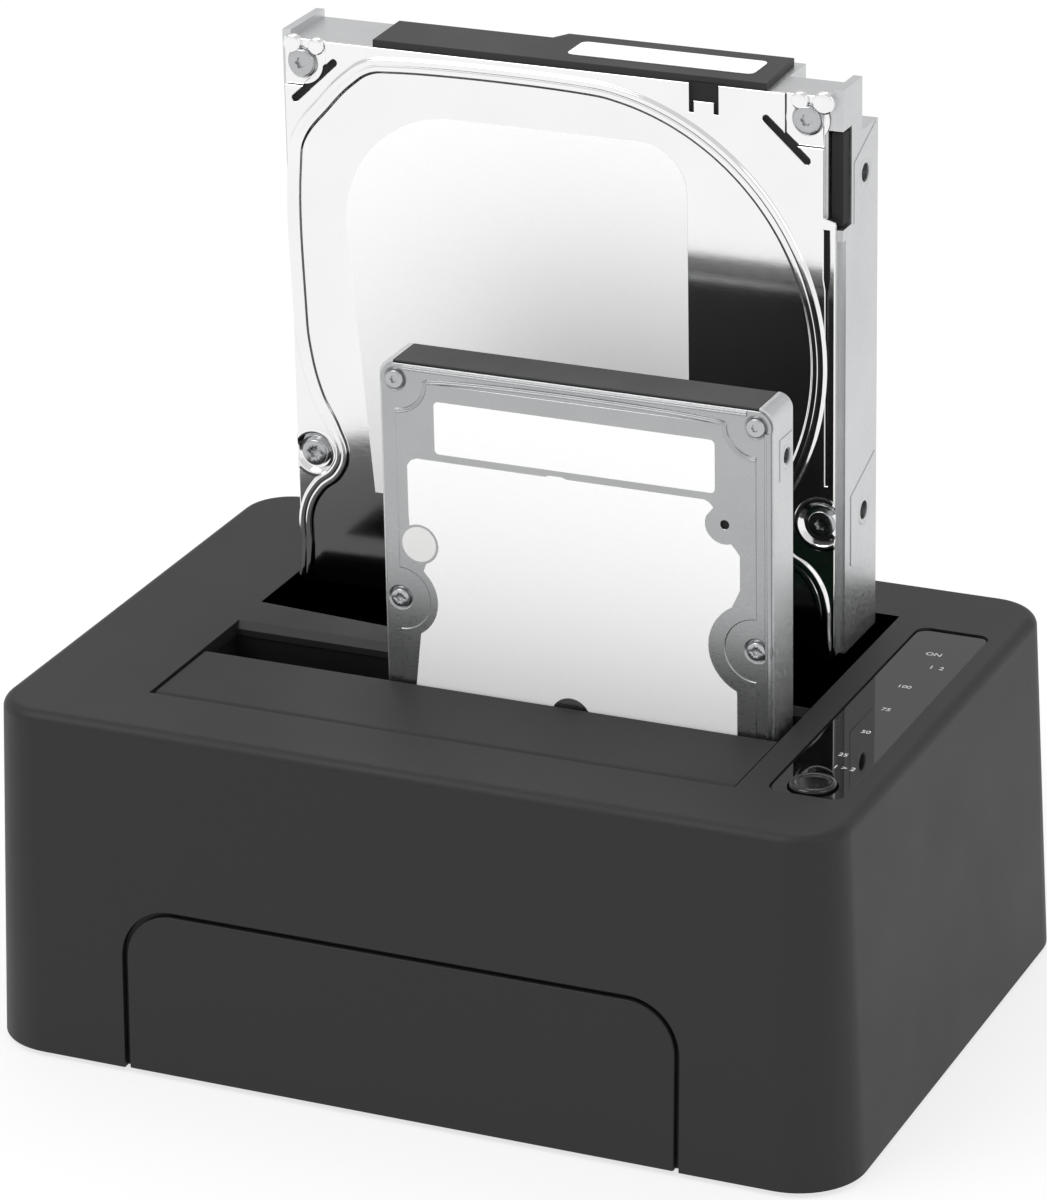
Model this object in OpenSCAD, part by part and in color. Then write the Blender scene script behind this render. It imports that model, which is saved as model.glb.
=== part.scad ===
// Docking station with two upright bays, shown with a large and a small hard drive docked.
// Millimetres. X runs to the right, Y to the back and Z up.
// The origin is on the table, under the middle of the housing.

/* [Housing] */
// Width across the top edge of the housing
top_w = 151.5; // [140:0.5:170]
// Depth across the top edge of the housing
top_d = 106.5; // [98:0.5:125]
// Height from the table to the top of the housing
dock_h = 63; // [57:0.5:75]
// How far each side leans out, from the top down to the table
draft = 2.8; // [0.5:0.1:3.4]
// Radius of the upright corners at the top
corner_r = 9; // [7:0.5:12]
// Radius of the rounded top edge
edge_r = 2; // [1:0.1:3]
// Thickness of the side walls
wall = 2.4; // [2:0.1:3]
// Thickness of the top
top_t = 2.4; // [2.2:0.1:3.2]

/* [Base] */
// Height of the rubber feet below the housing's bottom edge
foot_h = 1; // [0.6:0.1:3]
// Radius of a rubber foot
foot_r = 6; // [4:0.5:9]
// Distance of a foot's middle from the left or right edge of the top
foot_side = 25.75; // [20:0.25:34]
// Distance of a foot's middle from the front or back edge of the top
foot_end = 13.25; // [11:0.25:20]
// Depth of the seat that a foot is glued into
foot_seat = 0.5; // [0.2:0.1:1]
// Thickness of the base plate
base_t = 2.2; // [1.8:0.1:3]
// How far the base plate sits up inside the housing's bottom edge
base_rise = 0.2; // [0.1:0.1:0.6]
// Distance of the corner screw posts from the side walls
post_inset = 8.5; // [7.5:0.5:10]
// Radius of a corner screw post
post_r = 3.3; // [2.8:0.1:4]
// Length of the air slots in the base plate
vent_l = 26; // [10:1:30]
// Width of the air slots in the base plate
vent_w = 2.4; // [1.5:0.1:3.2]
// Distance from one air slot to the next
vent_pitch = 6; // [5:0.5:9]
// Number of air slots
vent_count = 6; // [2:1:7]
// Distance of the air slots' middle from the middle of the dock
vent_x = 17; // [15.5:0.5:20]

/* [Bays] */
// Width of the top in front of the front bay
front_edge = 14.65; // [14:0.05:17]
// Width of the top between the bays
bay_land = 9.8; // [8:0.1:12]
// Width of the top behind the rear bay
back_edge = 16.45; // [15.5:0.05:19]
// Width of the top between the bays and the control strip
strip_gap = 4.85; // [4.5:0.05:6]
// Chamfer along the back rim of each opening
rim_cut = 1.2; // [0.6:0.1:1.6]
// Thickness of the walls of a bay liner
liner_t = 1.6; // [1.2:0.1:1.9]
// Thickness of the floor of a bay liner
floor_t = 2; // [1.5:0.1:3]
// How far a liner's walls stand back from the opening
liner_back = 0.3; // [0.1:0.1:0.5]
// Thickness of the legs on the ends of a liner
leg_t = 2.4; // [1.6:0.1:2.6]
// Width of the legs on the ends of a liner
leg_w = 5; // [3:0.5:7]
// Distance from the back face of a docked drive to the back edge of its bay
seat_edge = 2.7; // [2.2:0.1:3.2]

/* [Doors] */
// Thickness of a bay door
door_t = 1.6; // [1.2:0.1:1.8]
// Radius of the barrel along a door's hinged edge
barrel_r = 1.7; // [1.5:0.1:2]
// Radius of a door's hinge pins
pin_r = 0.7; // [0.5:0.05:0.8]
// Length of pin held in the housing
pin_grip = 3.4; // [2.5:0.1:3.8]
// Length of pin held in the door
pin_hold = 6; // [4:0.5:10]
// Length of the closing springs on the pins
spring_l = 5; // [3:0.5:8]
// Wire of the closing springs
spring_wire = 0.25; // [0.2:0.01:0.3]
// How far the doors sit below the top
door_drop = 0.3; // [0.1:0.1:0.6]
// Gap between a door and the edges of its opening
door_gap = 0.4; // [0.3:0.1:0.6]
// Gap between a door's free edge and a docked drive
door_clear = 0.5; // [0.4:0.1:0.8]
// Height of the hinge bosses under the top
boss_h = 3; // [2:0.1:4]
// Length of the hinge bosses, away from the opening
boss_l = 4.4; // [4:0.1:4.6]

/* [Large drive] */
// Width of the large drive
large_w = 101.6; // [100:0.1:102]
// Length of the large drive
large_l = 147; // [130:0.5:150]
// Thickness of the large drive
large_t = 17.8; // [16:0.1:24]
// Gap at the large drive's right side
large_gap = 3; // [1.6:0.1:3.6]
// Gap at the large drive's left side
large_side = 1.2; // [0.8:0.1:3]
// Distance of the round bead over the discs from the large drive's right side
disc_edge = 3.4; // [2.6:0.1:8]
// Width of the black cap on the large drive's free end
cap_w = 72; // [50:1:72]

/* [Small drive] */
// Width of the small drive
small_w = 69.85; // [68:0.05:70.5]
// Length of the small drive
small_l = 100.3; // [95:0.1:101]
// Thickness of the small drive
small_t = 9.5; // [9.4:0.1:12.5]
// Gap at the small drive's right side
small_gap = 1.6; // [0.6:0.1:2.4]

/* [Control strip] */
// Width of the glossy strip
strip_w = 12.8; // [11.5:0.1:13]
// Length of the glossy strip
strip_l = 72; // [70:0.5:74]
// Distance of the strip from the right edge of the top
strip_in = 4.6; // [4:0.1:5]
// Place of the strip's middle, front to back
strip_y = -1.1; // [-2:0.1:1]
// Corner radius of the strip
strip_r = 2; // [1:0.1:3]
// Depth of the strip's seat in the top
strip_seat = 1; // [0.8:0.1:1.2]
// Thickness of the strip
strip_t = 0.7; // [0.4:0.1:0.8]
// Radius of the copy button
button_r = 3.9; // [3:0.1:4.2]
// Distance of the copy button from the strip's front end
button_in = 4.3; // [4.2:0.1:4.8]
// How far the copy button stands above the top
button_up = 0.6; // [0.2:0.1:1]
// Travel of the copy button
button_travel = 1.2; // [0.6:0.1:1.4]
// Number of indicator lights
light_count = 5; // [3:1:5]
// Distance from one indicator light to the next
light_pitch = 9.9; // [8:0.1:10]
// Distance from the button to the nearest light
light_gap = 13; // [12.6:0.1:14]
// Radius of a light guide
guide_r = 1.2; // [0.8:0.1:1.6]
// Depth of the indicator board below the top
board_drop = 12; // [11:0.5:16]

/* [Front panel] */
// Width of the panel set into the front
panel_w = 100.4; // [70:0.2:110]
// Sideways place of the panel's middle
panel_x = -0.3; // [-3:0.1:3]
// Height of the panel's top edge above the table
panel_top = 30.5; // [20:0.5:40]
// Corner radius of the panel
panel_r = 9; // [4:0.5:12]
// Width of the groove around the panel
panel_groove = 0.9; // [0.5:0.1:1.4]
// Thickness of the panel
panel_t = 1.4; // [1:0.1:1.6]

/* [Boards and sockets] */
// Distance of the main board's sides from the sides of the bays
board_side = 2.9; // [2:0.1:5]
// Distance of the main board's back edge from the back of the top
board_edge = 8.2; // [7:0.1:9]
// Thickness of the boards
board_t = 1.6; // [1:0.1:2]
// Height of the main board's posts
standoff_h = 3.6; // [3:0.1:4]
// Height of the front drive socket's body above the main board
front_socket_h = 10.7; // [8:0.1:16]
// Height of the rear drive socket's body above the main board
rear_socket_h = 7.1; // [5:0.1:12]
// Distance of the drive sockets' middle from the right side of the bays
socket_in = 33; // [30:0.5:38]
// Distance from a drive's back face to the middle of its plug
plug_back = 4.4; // [4.2:0.1:4.6]
// Length of a drive socket's nose
nose_l = 37.5; // [36:0.1:38.5]
// Thickness of a drive socket's nose
nose_t = 4.6; // [4.2:0.1:4.8]
// How far a socket's nose reaches into a drive
nose_h = 4.9; // [4:0.1:5.5]
// Distance of the data port's middle from the right side of the bays
usb_in = 39.5; // [36:0.5:44]
// Distance of the power inlet's middle from the right side of the bays
dc_in = 19.5; // [16:0.5:24]
// Distance of the power switch's middle from the right side of the bays
switch_in = 88.5; // [78:0.5:94]
// Height of the power switch's middle
switch_z = 30; // [26:0.5:40]
// Angle of the power switch's rocker on either side of its middle
rocker_tilt = 8; // [4:0.5:9]

/* [Fits] */
// Gap between fixed pieces that drop into each other
drop_fit = 0.15; // [0.1:0.01:0.2]
// Gap around pieces that slide past each other
slide_fit = 0.25; // [0.2:0.01:0.3]
// Gap around turning pins
turn_fit = 0.06; // [0.02:0.01:0.09]
// Gap between a docked drive and the floor of its bay
seat_gap = 0.3; // [0.2:0.1:0.5]

/* [Hidden] */
$fn = 64;
past = 1; // how far cuts run past the faces that they open

// Colours
black_satin = [0.10, 0.10, 0.11];
black_gloss = [0.03, 0.03, 0.04];
black_rubber = [0.06, 0.06, 0.06];
board_green = [0.08, 0.30, 0.16];
steel = [0.75, 0.76, 0.78];
cast_metal = [0.62, 0.63, 0.65];
brass = [0.80, 0.66, 0.32];
label_white = [0.94, 0.94, 0.94];
clear_plastic = [0.85, 0.88, 0.92];

// Housing and base
underside = dock_h - top_t;
base_z = foot_h + base_rise;
base_top = base_z + base_t;
screw_r = 1.25;
screw_head_r = 2.7;
screw_head_h = 1.5;
screw_l = 11; // length of a base screw below its head
screw_room = 1; // empty depth of a screw's hole below its point
small_screw_r = 1;
small_head_r = 2.2;
small_head_h = 1.4;
foot_bevel = 0.3;
post_spots = [for (sx = [-1, 1], sy = [-1, 1])
    [sx * (top_w / 2 - post_inset), sy * (top_d / 2 - post_inset)]];
foot_spots = [for (sx = [-1, 1], sy = [-1, 1])
    [sx * (top_w / 2 - foot_side), sy * (top_d / 2 - foot_end)]];

// Control strip
strip_x = top_w / 2 - strip_in - strip_w / 2;
strip_front = strip_y - strip_l / 2;

// Bays
bay_w = large_w + large_side + large_gap;
bay_d = (top_d - front_edge - bay_land - back_edge) / 2;
bay_right = strip_x - strip_w / 2 - strip_gap;
bay_left = bay_right - bay_w;
bay_x = bay_right - bay_w / 2;
seat_back = bay_d - seat_edge;
liner_out = liner_back + liner_t;
leg_setback = 8;

// Doors
hinge_y = door_gap + barrel_r;
hinge_z = dock_h - door_drop - barrel_r;
door_w = bay_w - 2 * door_gap;
door_l = seat_back - small_t - door_clear - hinge_y;
spring_bore_r = pin_r + 2 * (spring_wire + turn_fit);
door_reach = norm([door_l, barrel_r]);
lean_room = seat_back - large_t - door_clear - hinge_y;
rear_lean = acos(min(1, lean_room / door_reach)) + atan(barrel_r / door_l);

// Main board
board_z = base_top + standoff_h;
board_top = board_z + board_t;
board_left = bay_left + board_side;
board_right = bay_right - board_side;
board_back = top_d / 2 - board_edge;
board_lap = 2.5; // how far the main board reaches in front of the front liner
board_front = bay_front(0) - liner_out - board_lap;
standoff_in = 5;
standoff_r = 3;
standoff_spots = [for (x = [board_left + standoff_in, board_right - standoff_in],
    y = [board_front + standoff_in, board_back - standoff_in]) [x, y]];

// Drives
large_x = bay_right - large_gap - large_w;
large_y = bay_front(1) + seat_back - large_t;
large_z = seat_z(1);
small_x = bay_right - small_gap - small_w;
small_y = bay_front(0) + seat_back - small_t;
small_z = seat_z(0);
label_t = 0.12;
label_gap = 0.3; // gap between a label and the beads beside it

// Copy button and indicator board
button_y = strip_front + button_in;
flange_r = button_r + 1;
flange_t = 1;
stem_r = 2.2;
indicator_top = dock_h - board_drop;
plunger_r = 1.75;
plunger_l = 2.3;
switch_w = 6;
switch_h = 3.4;
stem_end = indicator_top + switch_h + button_travel + slide_fit;
light_h = 1.4;
indicator_screw_l = 5; // depth of these screws in their posts
light_spots = [for (i = [0:light_count - 1]) button_y + light_gap + i * light_pitch];
indicator_w = 12;
indicator_margin = 1.5;
indicator_front = button_y - switch_w / 2 - indicator_margin;
indicator_post_r = 2.4;
indicator_post_gap = 0.3; // gap between the front post and the button's flange
indicator_post_past = 6; // from the last light to the rear post
indicator_end = 3; // from the rear post to the end of the indicator board
indicator_posts = [button_y + flange_r + indicator_post_r + indicator_post_gap,
    light_spots[light_count - 1] + indicator_post_past];
indicator_back = indicator_posts[1] + indicator_end;

// Drive sockets and plugs
socket_x = bay_right - socket_in;
socket_end = 3.25; // how far a socket's body reaches past its nose, at each end
socket_side = 0.9; // the same at each long side
socket_body_l = nose_l + 2 * socket_end;
socket_body_t = nose_t + 2 * socket_side;
blade_t = 1.2;
blade_slot = 1.7;
blades = [[-13.6, 10.3], [4.8, 20.6]]; // each blade's middle and length along the plug
plug_body_h = 8;
plug_wall = 1.1;
plug_cavity = nose_h + 0.5;

// Rear sockets
usb_x = bay_right - usb_in;
dc_x = bay_right - dc_in;
switch_x = bay_right - switch_in;
port_sink = 0.4; // how far the sockets' mouths sit inside the rear wall
liner_gap = 0.6; // gap between the sockets and the rear bay's liner
usb_w = 12;
usb_h = 11;
dc_w = 9;
dc_h = 11;
port_y = top_d / 2 + lean_out(board_top + usb_h) - port_sink;
usb_l = port_y - bay_front(1) - bay_d - liner_out - liner_gap;
dc_l = usb_l - 1;
dc_bore_r = 2.9;
dc_bore_l = 10;
dc_pin_r = 1.05;
dc_pin_root = 2; // length of pin held in the block
port_skin = 0.5; // sheet of the data port's shell
switch_body_w = 13.4;
switch_body_h = 9;
switch_body_l = 10;
bezel_w = 15.6;
bezel_h = 11;
bezel_t = 1;
rocker_w = 10.4;
rocker_h = 6.6;
rocker_pin_r = 0.9;
rocker_pin_l = 0.8;
rocker_room = 0.8; // room for the rocker's ends to swing

// Front edge of a bay: 0 is the front bay, 1 the rear one
function bay_front(i) = front_edge - top_d / 2 + i * (bay_d + bay_land);

// Top of a bay's floor, level with its drive socket's body
function floor_z(i) = board_top + (i == 0 ? front_socket_h : rear_socket_h);

// Height at which the drive in a bay stands
function seat_z(i) = floor_z(i) + seat_gap;

// Middle of a bay's drive socket, front to back
function socket_y(i) = bay_front(i) + seat_back - plug_back;

// How far the sides stand out at a height, beyond the top edge.
// It is in whole microns, so that the flat sides run cleanly into the round corners.
function lean_out(z) = round(1000 * draft * (1 - z / dock_h)) / 1000;

// Shared shapes

// Upright section across a block with leaning sides and a rounded top edge
module leaning_section(half, z0, z1, round) {
    low = half + lean_out(z0);
    high = half + lean_out(z1 - round);
    polygon([[-low, z0], [low, z0], [high, z1 - round], [-high, z1 - round]]);
    if (round > 0) {
        translate([round - high, z1 - 2 * round]) square([2 * (high - round), 2 * round]);
        for (side = [-1, 1]) translate([side * (high - round), z1 - round]) circle(r = round);
    }
}

// One upright corner of a leaning block
module leaning_corner(r, z0, z1, round) {
    low = r + lean_out(z0);
    high = r + lean_out(z1 - round);
    rotate_extrude() {
        polygon([[0, z0], [low, z0], [high, z1 - round], [0, z1 - round]]);
        if (round > 0) {
            translate([0, z1 - 2 * round]) square([high - round, 2 * round]);
            translate([high - round, z1 - round]) circle(r = round);
        }
    }
}

// Block that follows the housing's leaning sides, drawn in by an inset
module leaning_block(inset, z0, z1, round = 0) {
    half_w = top_w / 2 - inset;
    half_d = top_d / 2 - inset;
    r = corner_r - inset;
    rotate([90, 0, 0]) linear_extrude(2 * (half_d - r), center = true) leaning_section(half_w, z0, z1, round);
    rotate([90, 0, 90]) linear_extrude(2 * (half_w - r), center = true) leaning_section(half_d, z0, z1, round);
    for (sx = [-1, 1], sy = [-1, 1])
        translate([sx * (half_w - r), sy * (half_d - r), 0]) leaning_corner(r, z0, z1, round);
}

// Box between two corners
module box(low, high) {
    translate(low) cube(high - low);
}

// Rounded rectangle around the origin
module rounded_plate(w, d, r) {
    square([w - 2 * r, d], center = true);
    square([w, d - 2 * r], center = true);
    for (sx = [-1, 1], sy = [-1, 1]) translate([sx * (w / 2 - r), sy * (d / 2 - r)]) circle(r = r);
}

// Stands a flat outline up, so that it fills the depth from y0 to y1
module upright(y0, y1) {
    translate([0, y1, 0]) rotate([90, 0, 0]) linear_extrude(y1 - y0) children();
}

// Cylinder along X
module rod_x(r, x0, x1) {
    translate([x0, 0, 0]) rotate([0, 90, 0]) cylinder(r = r, h = x1 - x0);
}

// Screw that points down from the underside of its head
module screw(shaft_r, shaft_l, head_r, head_h) {
    drive_r = head_r * 0.45;
    drive_deep = head_h * 0.5;
    translate([0, 0, -shaft_l]) cylinder(r = shaft_r, h = shaft_l + head_h / 2);
    difference() {
        cylinder(r = head_r, h = head_h);
        translate([0, 0, head_h - drive_deep]) cylinder(r = drive_r, h = drive_deep + past, $fn = 6);
    }
}

// Outline of the front panel's place, with round top corners
module panel_outline(grow) {
    r = panel_r + grow;
    half = panel_w / 2 + grow;
    top = panel_top + grow;
    translate([panel_x, 0]) {
        translate([-half, foot_h - past]) square([2 * half, top - r - foot_h + past]);
        translate([r - half, foot_h]) square([2 * (half - r), top - foot_h]);
        for (side = [-1, 1]) translate([side * (half - r), top - r]) circle(r = r);
    }
}

// Slab from ahead of the leaning front face to a depth inside it
module front_skin(ahead, depth) {
    low = top_d / 2 + lean_out(foot_h);
    high = top_d / 2 + lean_out(underside);
    rotate([90, 0, 90]) linear_extrude(top_w - 2 * corner_r, center = true)
        polygon([[-low - ahead, foot_h], [depth - low, foot_h],
            [depth - high, underside], [-high - ahead, underside]]);
}

// Blocks under the top that hold the ends of the doors' pins
module hinge_bosses(grow) {
    for (i = [0, 1], side = [-1, 1]) {
        edge = side < 0 ? bay_left - boss_l : bay_right;
        box([edge - grow, bay_front(i) - grow, underside - boss_h - grow],
            [edge + boss_l + grow, bay_front(i) + 2 * hinge_y + grow, underside + grow]);
    }
}

// Housing: one moulded shell with the bay openings in its top
module housing() {
    color(black_satin) difference() {
        union() {
            difference() {
                leaning_block(0, foot_h, dock_h, edge_r);
                leaning_block(wall, foot_h - past, underside);
            }
            for (spot = post_spots) translate([spot[0], spot[1], base_top])
                cylinder(r = post_r, h = underside - base_top + top_t / 2);
            for (y = indicator_posts) translate([strip_x, y, indicator_top])
                cylinder(r = indicator_post_r, h = underside - indicator_top + strip_t);
            hinge_bosses(0);
        }
        for (i = [0, 1]) {
            front = bay_front(i);
            back = front + bay_d;
            box([bay_left, front, underside - past], [bay_right, back, dock_h + past]);
            translate([bay_left, back, dock_h]) rotate([90, 0, 90]) linear_extrude(bay_w)
                polygon([[-past, 0], [-past, -rim_cut - past], [rim_cut, 0]]);
            translate([0, front + hinge_y, hinge_z])
                rod_x(pin_r + turn_fit, bay_left - pin_grip - turn_fit, bay_right + pin_grip + turn_fit);
        }
        translate([strip_x, strip_y, dock_h - strip_seat]) linear_extrude(strip_seat + past)
            rounded_plate(strip_w + 2 * drop_fit, strip_l + 2 * drop_fit, strip_r + drop_fit);
        translate([strip_x, button_y, underside - past])
            cylinder(r = button_r + slide_fit, h = top_t + 2 * past);
        for (y = light_spots) translate([strip_x, y, underside - past])
            cylinder(r = guide_r + turn_fit, h = top_t + 2 * past);
        for (spot = post_spots) translate([spot[0], spot[1], base_top - past])
            cylinder(r = screw_r + turn_fit, h = screw_l + screw_room + past);
        for (y = indicator_posts) translate([strip_x, y, indicator_top - past])
            cylinder(r = small_screw_r + turn_fit, h = indicator_screw_l + screw_room + past);
        intersection() {
            front_skin(past, panel_t);
            upright(-top_d / 2 - draft - 2 * past, 0) panel_outline(panel_groove / 2);
        }
        port_holes();
    }
}

// Openings in the rear wall
module port_holes() {
    wall_in = top_d / 2 - wall - past;
    wall_out = top_d / 2 + draft + past;
    box([usb_x - usb_w / 2 - drop_fit, wall_in, board_top - drop_fit],
        [usb_x + usb_w / 2 + drop_fit, wall_out, board_top + usb_h + drop_fit]);
    box([dc_x - dc_w / 2 - drop_fit, wall_in, board_top - drop_fit],
        [dc_x + dc_w / 2 + drop_fit, wall_out, board_top + dc_h + drop_fit]);
    box([switch_x - switch_body_w / 2 - drop_fit, wall_in, switch_z - switch_body_h / 2 - drop_fit],
        [switch_x + switch_body_w / 2 + drop_fit, wall_out, switch_z + switch_body_h / 2 + drop_fit]);
}

// Base plate with the main board's posts, air slots and seats for the feet
module base_plate() {
    vent_span = (vent_count - 1) * vent_pitch;
    color(black_satin) difference() {
        union() {
            leaning_block(wall + drop_fit, base_z, base_top);
            for (spot = standoff_spots) translate([spot[0], spot[1], base_top - base_t / 2])
                cylinder(r = standoff_r, h = standoff_h + base_t / 2);
        }
        for (spot = post_spots) translate([spot[0], spot[1], base_z - past]) {
            cylinder(r = screw_r + slide_fit, h = base_t + 2 * past);
            cylinder(r = screw_head_r + slide_fit, h = screw_head_h + past);
        }
        for (spot = standoff_spots) translate([spot[0], spot[1], base_z + base_t / 2])
            cylinder(r = small_screw_r + turn_fit, h = base_t + standoff_h);
        for (spot = foot_spots) translate([spot[0], spot[1], base_z - past])
            cylinder(r = foot_r + drop_fit, h = foot_seat + past);
        for (side = [-1, 1], i = [0:vent_count - 1])
            translate([side * vent_x, i * vent_pitch - vent_span / 2, base_z + base_t / 2])
                cube([vent_l, vent_w, base_t + 2 * past], center = true);
    }
}

// Panel set flush into the front, inside its groove
module front_panel() {
    color(black_satin) intersection() {
        front_skin(0, panel_t);
        upright(-top_d / 2 - draft - past, 0) panel_outline(-panel_groove / 2);
    }
}

module rubber_feet() {
    color(black_rubber) for (spot = foot_spots) translate([spot[0], spot[1], 0]) {
        cylinder(r1 = foot_r - foot_bevel, r2 = foot_r, h = foot_bevel);
        translate([0, 0, foot_bevel]) cylinder(r = foot_r, h = base_z + foot_seat - foot_bevel);
    }
}

module base_screws() {
    color(steel) for (spot = post_spots)
        translate([spot[0], spot[1], base_z + screw_head_h]) rotate([180, 0, 0])
            screw(screw_r, screw_l, screw_head_r, screw_head_h);
}

// Well of one bay, standing on its end legs, with a slot in the floor for the drive socket
module bay_liner(i) {
    front = bay_front(i);
    back = front + bay_d;
    floor_top = floor_z(i);
    slot_l = socket_body_l + 2 * slide_fit;
    slot_t = socket_body_t + 2 * slide_fit;
    difference() {
        union() {
            box([bay_left - liner_out, front - liner_out, floor_top - floor_t],
                [bay_right + liner_out, back + liner_out, underside]);
            for (y = [front + leg_setback, back - leg_setback], side = [-1, 1]) {
                inner = side < 0 ? bay_left - liner_out - leg_t : bay_right + liner_back;
                box([inner, y - leg_w / 2, base_top],
                    [inner + leg_t + liner_t, y + leg_w / 2, underside - boss_h]);
            }
        }
        box([bay_left - liner_back, front - liner_back, floor_top],
            [bay_right + liner_back, back + liner_back, underside + past]);
        box([socket_x - slot_l / 2, socket_y(i) - slot_t / 2, floor_top - floor_t - past],
            [socket_x + slot_l / 2, socket_y(i) + slot_t / 2, floor_top + past]);
        hinge_bosses(drop_fit);
    }
}

module front_bay_liner() {
    color(black_satin) bay_liner(0);
}

module rear_bay_liner() {
    color(black_satin) bay_liner(1);
}

// Places a door's pieces on the hinge line of a bay, turned down by an angle
module on_hinge(i, angle) {
    translate([bay_x, bay_front(i) + hinge_y, hinge_z]) rotate([-angle, 0, 0]) children();
}

// Door, drawn shut with its hinge line along X at the origin
module door() {
    half = door_w / 2;
    lip_t = 1.4;
    lip_h = 2.6;
    difference() {
        union() {
            rod_x(barrel_r, -half, half);
            box([-half, 0, barrel_r - door_t], [half, door_l, barrel_r]);
            box([-half, door_l - lip_t, barrel_r - lip_h], [half, door_l, barrel_r]);
        }
        for (side = [0, 1]) mirror([side, 0, 0]) {
            rod_x(pin_r + turn_fit / 2, half - spring_l - pin_hold - turn_fit, half + past);
            rod_x(spring_bore_r + turn_fit, half - spring_l, half + past);
        }
    }
}

// Pins of one door: each runs from the housing through the spring into the door
module door_pins() {
    half = door_w / 2;
    for (side = [0, 1]) mirror([side, 0, 0])
        rod_x(pin_r, half - spring_l - pin_hold, half + door_gap + pin_grip);
}

// Closing springs of one door, drawn as sleeves, hidden in the ends of the barrel
module door_springs() {
    half = door_w / 2;
    for (side = [0, 1]) mirror([side, 0, 0]) difference() {
        rod_x(spring_bore_r, half - spring_l, half - spring_wire);
        rod_x(pin_r + turn_fit, half - spring_l - past, half + past);
    }
}

module front_door() {
    color(black_satin) on_hinge(0, 0) door();
}

module front_door_pins() {
    color(steel) on_hinge(0, 0) door_pins();
}

module front_door_springs() {
    color(steel) on_hinge(0, 0) door_springs();
}

module rear_door() {
    color(black_satin) on_hinge(1, rear_lean) door();
}

module rear_door_pins() {
    color(steel) on_hinge(1, 0) door_pins();
}

module rear_door_springs() {
    color(steel) on_hinge(1, 0) door_springs();
}

// Glossy strip in its seat, with a hole for the button
module control_strip() {
    color(black_gloss) difference() {
        translate([strip_x, strip_y, dock_h - strip_seat]) linear_extrude(strip_t)
            rounded_plate(strip_w, strip_l, strip_r);
        translate([strip_x, button_y, dock_h - strip_seat - past])
            cylinder(r = button_r + slide_fit, h = strip_t + 2 * past);
    }
}

// Button with a rounded rim, a flange that keeps it in the housing and a stem down to the switch
module copy_button() {
    rim = 0.7;
    dish = 0.3;
    flange_top = underside - slide_fit;
    flange_low = flange_top - flange_t;
    top = dock_h + button_up;
    color(black_gloss) translate([strip_x, button_y, 0]) rotate_extrude() {
        translate([0, stem_end]) square([stem_r, flange_top - stem_end]);
        translate([0, flange_low]) square([flange_r, flange_t]);
        translate([0, flange_low]) square([button_r, top - rim - flange_low]);
        translate([0, flange_low]) square([button_r - rim, top - dish - flange_low]);
        translate([button_r - rim, top - rim]) circle(r = rim);
    }
}

// Plunger of the push switch, carried down by the button's stem
module switch_plunger() {
    color(black_satin) translate([strip_x, button_y, stem_end - plunger_l])
        cylinder(r = plunger_r, h = plunger_l);
}

// Body of the push switch on the indicator board
module switch_body() {
    bore_deep = plunger_l + button_travel;
    color(black_satin) translate([strip_x, button_y, indicator_top]) difference() {
        translate([-switch_w / 2, -switch_w / 2, 0]) cube([switch_w, switch_w, switch_h]);
        translate([0, 0, stem_end - indicator_top - bore_deep])
            cylinder(r = plunger_r + turn_fit, h = bore_deep);
    }
}

// Narrow board under the strip that carries the lights and the push switch
module indicator_board() {
    color(board_green) difference() {
        box([strip_x - indicator_w / 2, indicator_front, indicator_top - board_t],
            [strip_x + indicator_w / 2, indicator_back, indicator_top]);
        for (y = indicator_posts) translate([strip_x, y, indicator_top - board_t - past])
            cylinder(r = small_screw_r + slide_fit, h = board_t + 2 * past);
    }
}

module indicator_lights() {
    light_l = 3.2;
    light_w = 2.4;
    color(clear_plastic) for (y = light_spots)
        translate([strip_x - light_l / 2, y - light_w / 2, indicator_top]) cube([light_l, light_w, light_h]);
}

// Clear rods that lead the light up to the underside of the strip
module light_guides() {
    color(clear_plastic) for (y = light_spots) translate([strip_x, y, indicator_top + light_h])
        cylinder(r = guide_r, h = dock_h - strip_seat - indicator_top - light_h);
}

module indicator_screws() {
    color(steel) for (y = indicator_posts) translate([strip_x, y, indicator_top - board_t])
        rotate([180, 0, 0]) screw(small_screw_r, board_t + indicator_screw_l, small_head_r, small_head_h);
}

// Main board, screwed to the base plate's posts
module main_board() {
    color(board_green) difference() {
        box([board_left, board_front, board_z], [board_right, board_back, board_top]);
        for (spot = standoff_spots) translate([spot[0], spot[1], board_z - past])
            cylinder(r = small_screw_r + slide_fit, h = board_t + 2 * past);
    }
}

module board_chips() {
    chip = 11;
    chip_h = 1.4;
    chip_in = 28.3;
    color(black_satin) for (i = [0, 1]) translate([bay_left + chip_in, bay_front(i) + bay_d / 2, board_top])
        translate([-chip / 2, -chip / 2, 0]) cube([chip, chip, chip_h]);
}

module board_capacitors() {
    can_r = 2.5;
    can_h = 8;
    can_pitch = 8;
    can_y = board_back - can_r - past;
    color(black_satin) for (i = [0:2]) translate([usb_x - usb_w / 2 - can_pitch * (i + 1), can_y, board_top])
        cylinder(r = can_r, h = can_h);
}

module board_screws() {
    color(steel) for (spot = standoff_spots) translate([spot[0], spot[1], board_top])
        screw(small_screw_r, board_t + standoff_h, small_head_r, small_head_h);
}

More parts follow.
